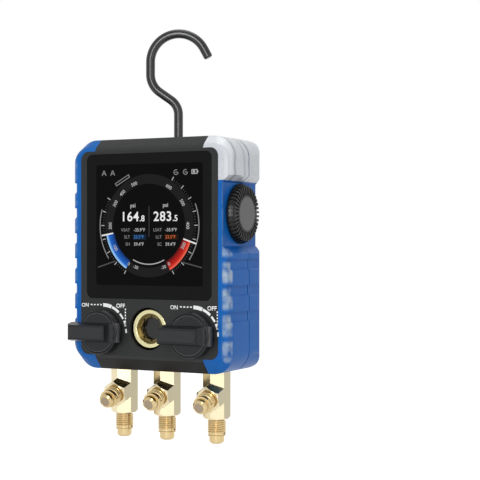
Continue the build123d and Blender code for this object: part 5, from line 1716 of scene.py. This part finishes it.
# ---------------------------------------------------------------- studio
@dataclass(frozen=True)
class Lamp:
    """Soft rectangular lamp: its place and size in metres and its power in watts."""

    name: str
    where: tuple[float, float, float]
    size: tuple[float, float]
    power: float

    def build(self, aim: tuple[float, float, float]) -> None:
        """Sets the lamp up.

        Args:
            aim: The point that it faces.
        """
        data = bpy.data.lights.new(self.name, "AREA")
        data.shape = "RECTANGLE"
        data.size, data.size_y = self.size
        data.energy = self.power
        lamp = bpy.data.objects.new(self.name, data)
        lamp.location = self.where
        beam = Vector(aim) - Vector(self.where)
        lamp.rotation_euler = beam.to_track_quat("-Z", "Y").to_euler()
        bpy.context.collection.objects.link(lamp)


@dataclass
class Studio:
    """Plain pale floor, soft lamps and the camera; lengths in metres, the lens in millimetres."""

    eye: tuple[float, float, float] = (0.38144, -0.66656, -0.12215)
    look: tuple[float, float, float] = (-0.45399, 0.89101, 0.0)
    lens: float = 94.95
    sensor: float = 36.0
    room_colour: str = "#F4F6F8"
    room_light: float = 0.42
    floor_colour: str = "#E2E2E2"
    floor_lift: float = 0.74
    floor_z: float = -0.262
    floor_size: float = 60.0
    aim: tuple[float, float, float] = (0.0, 0.0, -0.12)
    lamps: tuple[Lamp, ...] = (Lamp("front", (0.34, -1.26, 0.12), (0.9, 0.8), 1.0),
                               Lamp("strip", (0.40, -1.185, 0.04), (0.22, 0.8), 7.6),
                               Lamp("side", (1.07, -0.54, -0.10), (0.25, 1.2), 2.3),
                               Lamp("top", (0.1, 0.1, 1.2), (0.9, 0.9), 4.5))

    def camera(self) -> None:
        """Camera level with the gauge and to its right."""
        data = bpy.data.cameras.new("camera")
        data.lens = self.lens
        data.sensor_width = self.sensor
        camera = bpy.data.objects.new("camera", data)
        camera.location = self.eye
        camera.rotation_euler = Vector(self.look).to_track_quat("-Z", "Y").to_euler()
        bpy.context.collection.objects.link(camera)
        bpy.context.scene.camera = camera

    def seen(self, tree: Tree) -> Socket:
        """One where a ray comes from the camera, a mirror or glass, and zero for plain light.

        Args:
            tree: Node tree of the world or of the floor's material.

        Returns:
            The socket that carries it.
        """
        path = add_node(tree, "ShaderNodeLightPath")
        mirrored = add_node(tree, "ShaderNodeMath", {
            "0": path.outputs["Is Camera Ray"], "1": path.outputs["Is Glossy Ray"]},
            operation="MAXIMUM")
        through = add_node(tree, "ShaderNodeMath", {
            "0": mirrored.outputs["Value"], "1": path.outputs["Is Transmission Ray"]},
            operation="MAXIMUM")
        return through.outputs["Value"]

    def world(self) -> None:
        """Surroundings: white where they are seen, mirrored or seen through, softer as light."""
        world = bpy.data.worlds.new("studio")
        world.use_nodes = True
        tree = world.node_tree
        tree.nodes.clear()
        room = add_node(tree, "ShaderNodeBackground", {
            "Color": srgb(self.room_colour), "Strength": self.room_light})
        white = add_node(tree, "ShaderNodeBackground", {"Color": (1, 1, 1, 1), "Strength": 1.0})
        mix = add_node(tree, "ShaderNodeMixShader", {
            "0": self.seen(tree), "1": room.outputs["Background"],
            "2": white.outputs["Background"]})
        add_node(tree, "ShaderNodeOutputWorld", {"Surface": mix.outputs["Shader"]})
        bpy.context.scene.world = world

    def floor(self) -> None:
        """Pale matt floor, lifted to white where it is seen, with the gauge's shadow kept."""
        deselect_all()
        bpy.ops.mesh.primitive_plane_add(size=self.floor_size, location=(0, 0, self.floor_z))
        floor = named("floor")
        material, tree = new_material("pale_floor")
        lift = add_node(tree, "ShaderNodeMath", {
            "0": self.seen(tree), "1": self.floor_lift}, operation="MULTIPLY")
        white = add_node(tree, "ShaderNodeEmission", {
            "Color": (1, 1, 1, 1), "Strength": lift.outputs["Value"]})
        matt = add_node(tree, "ShaderNodeBsdfDiffuse", {"Color": srgb(self.floor_colour)})
        both = add_node(tree, "ShaderNodeAddShader", {
            "0": matt.outputs["BSDF"], "1": white.outputs["Emission"]})
        add_node(tree, "ShaderNodeOutputMaterial", {"Surface": both.outputs["Shader"]})
        floor.data.materials.append(material)

    def build(self) -> None:
        """Builds the studio."""
        self.camera()
        self.world()
        self.floor()
        for lamp in self.lamps:
            lamp.build(self.aim)
        bpy.context.scene.view_settings.view_transform = "Standard"


def main() -> None:
    """Builds the sub-assemblies in order."""
    logging.basicConfig(level=logging.INFO, format="%(message)s")
    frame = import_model()
    nodes = frame["nodes"]
    Studio().build()
    Housing(nodes).build()
    Display(nodes).build()
    Hook(nodes).build()
    HosePorts(nodes).build()
    Manifold(nodes).build()
    for side in Side:
        Valve(nodes, side=side).build()
    SideKnob(nodes).build()


if __name__ == "__main__":
    main()
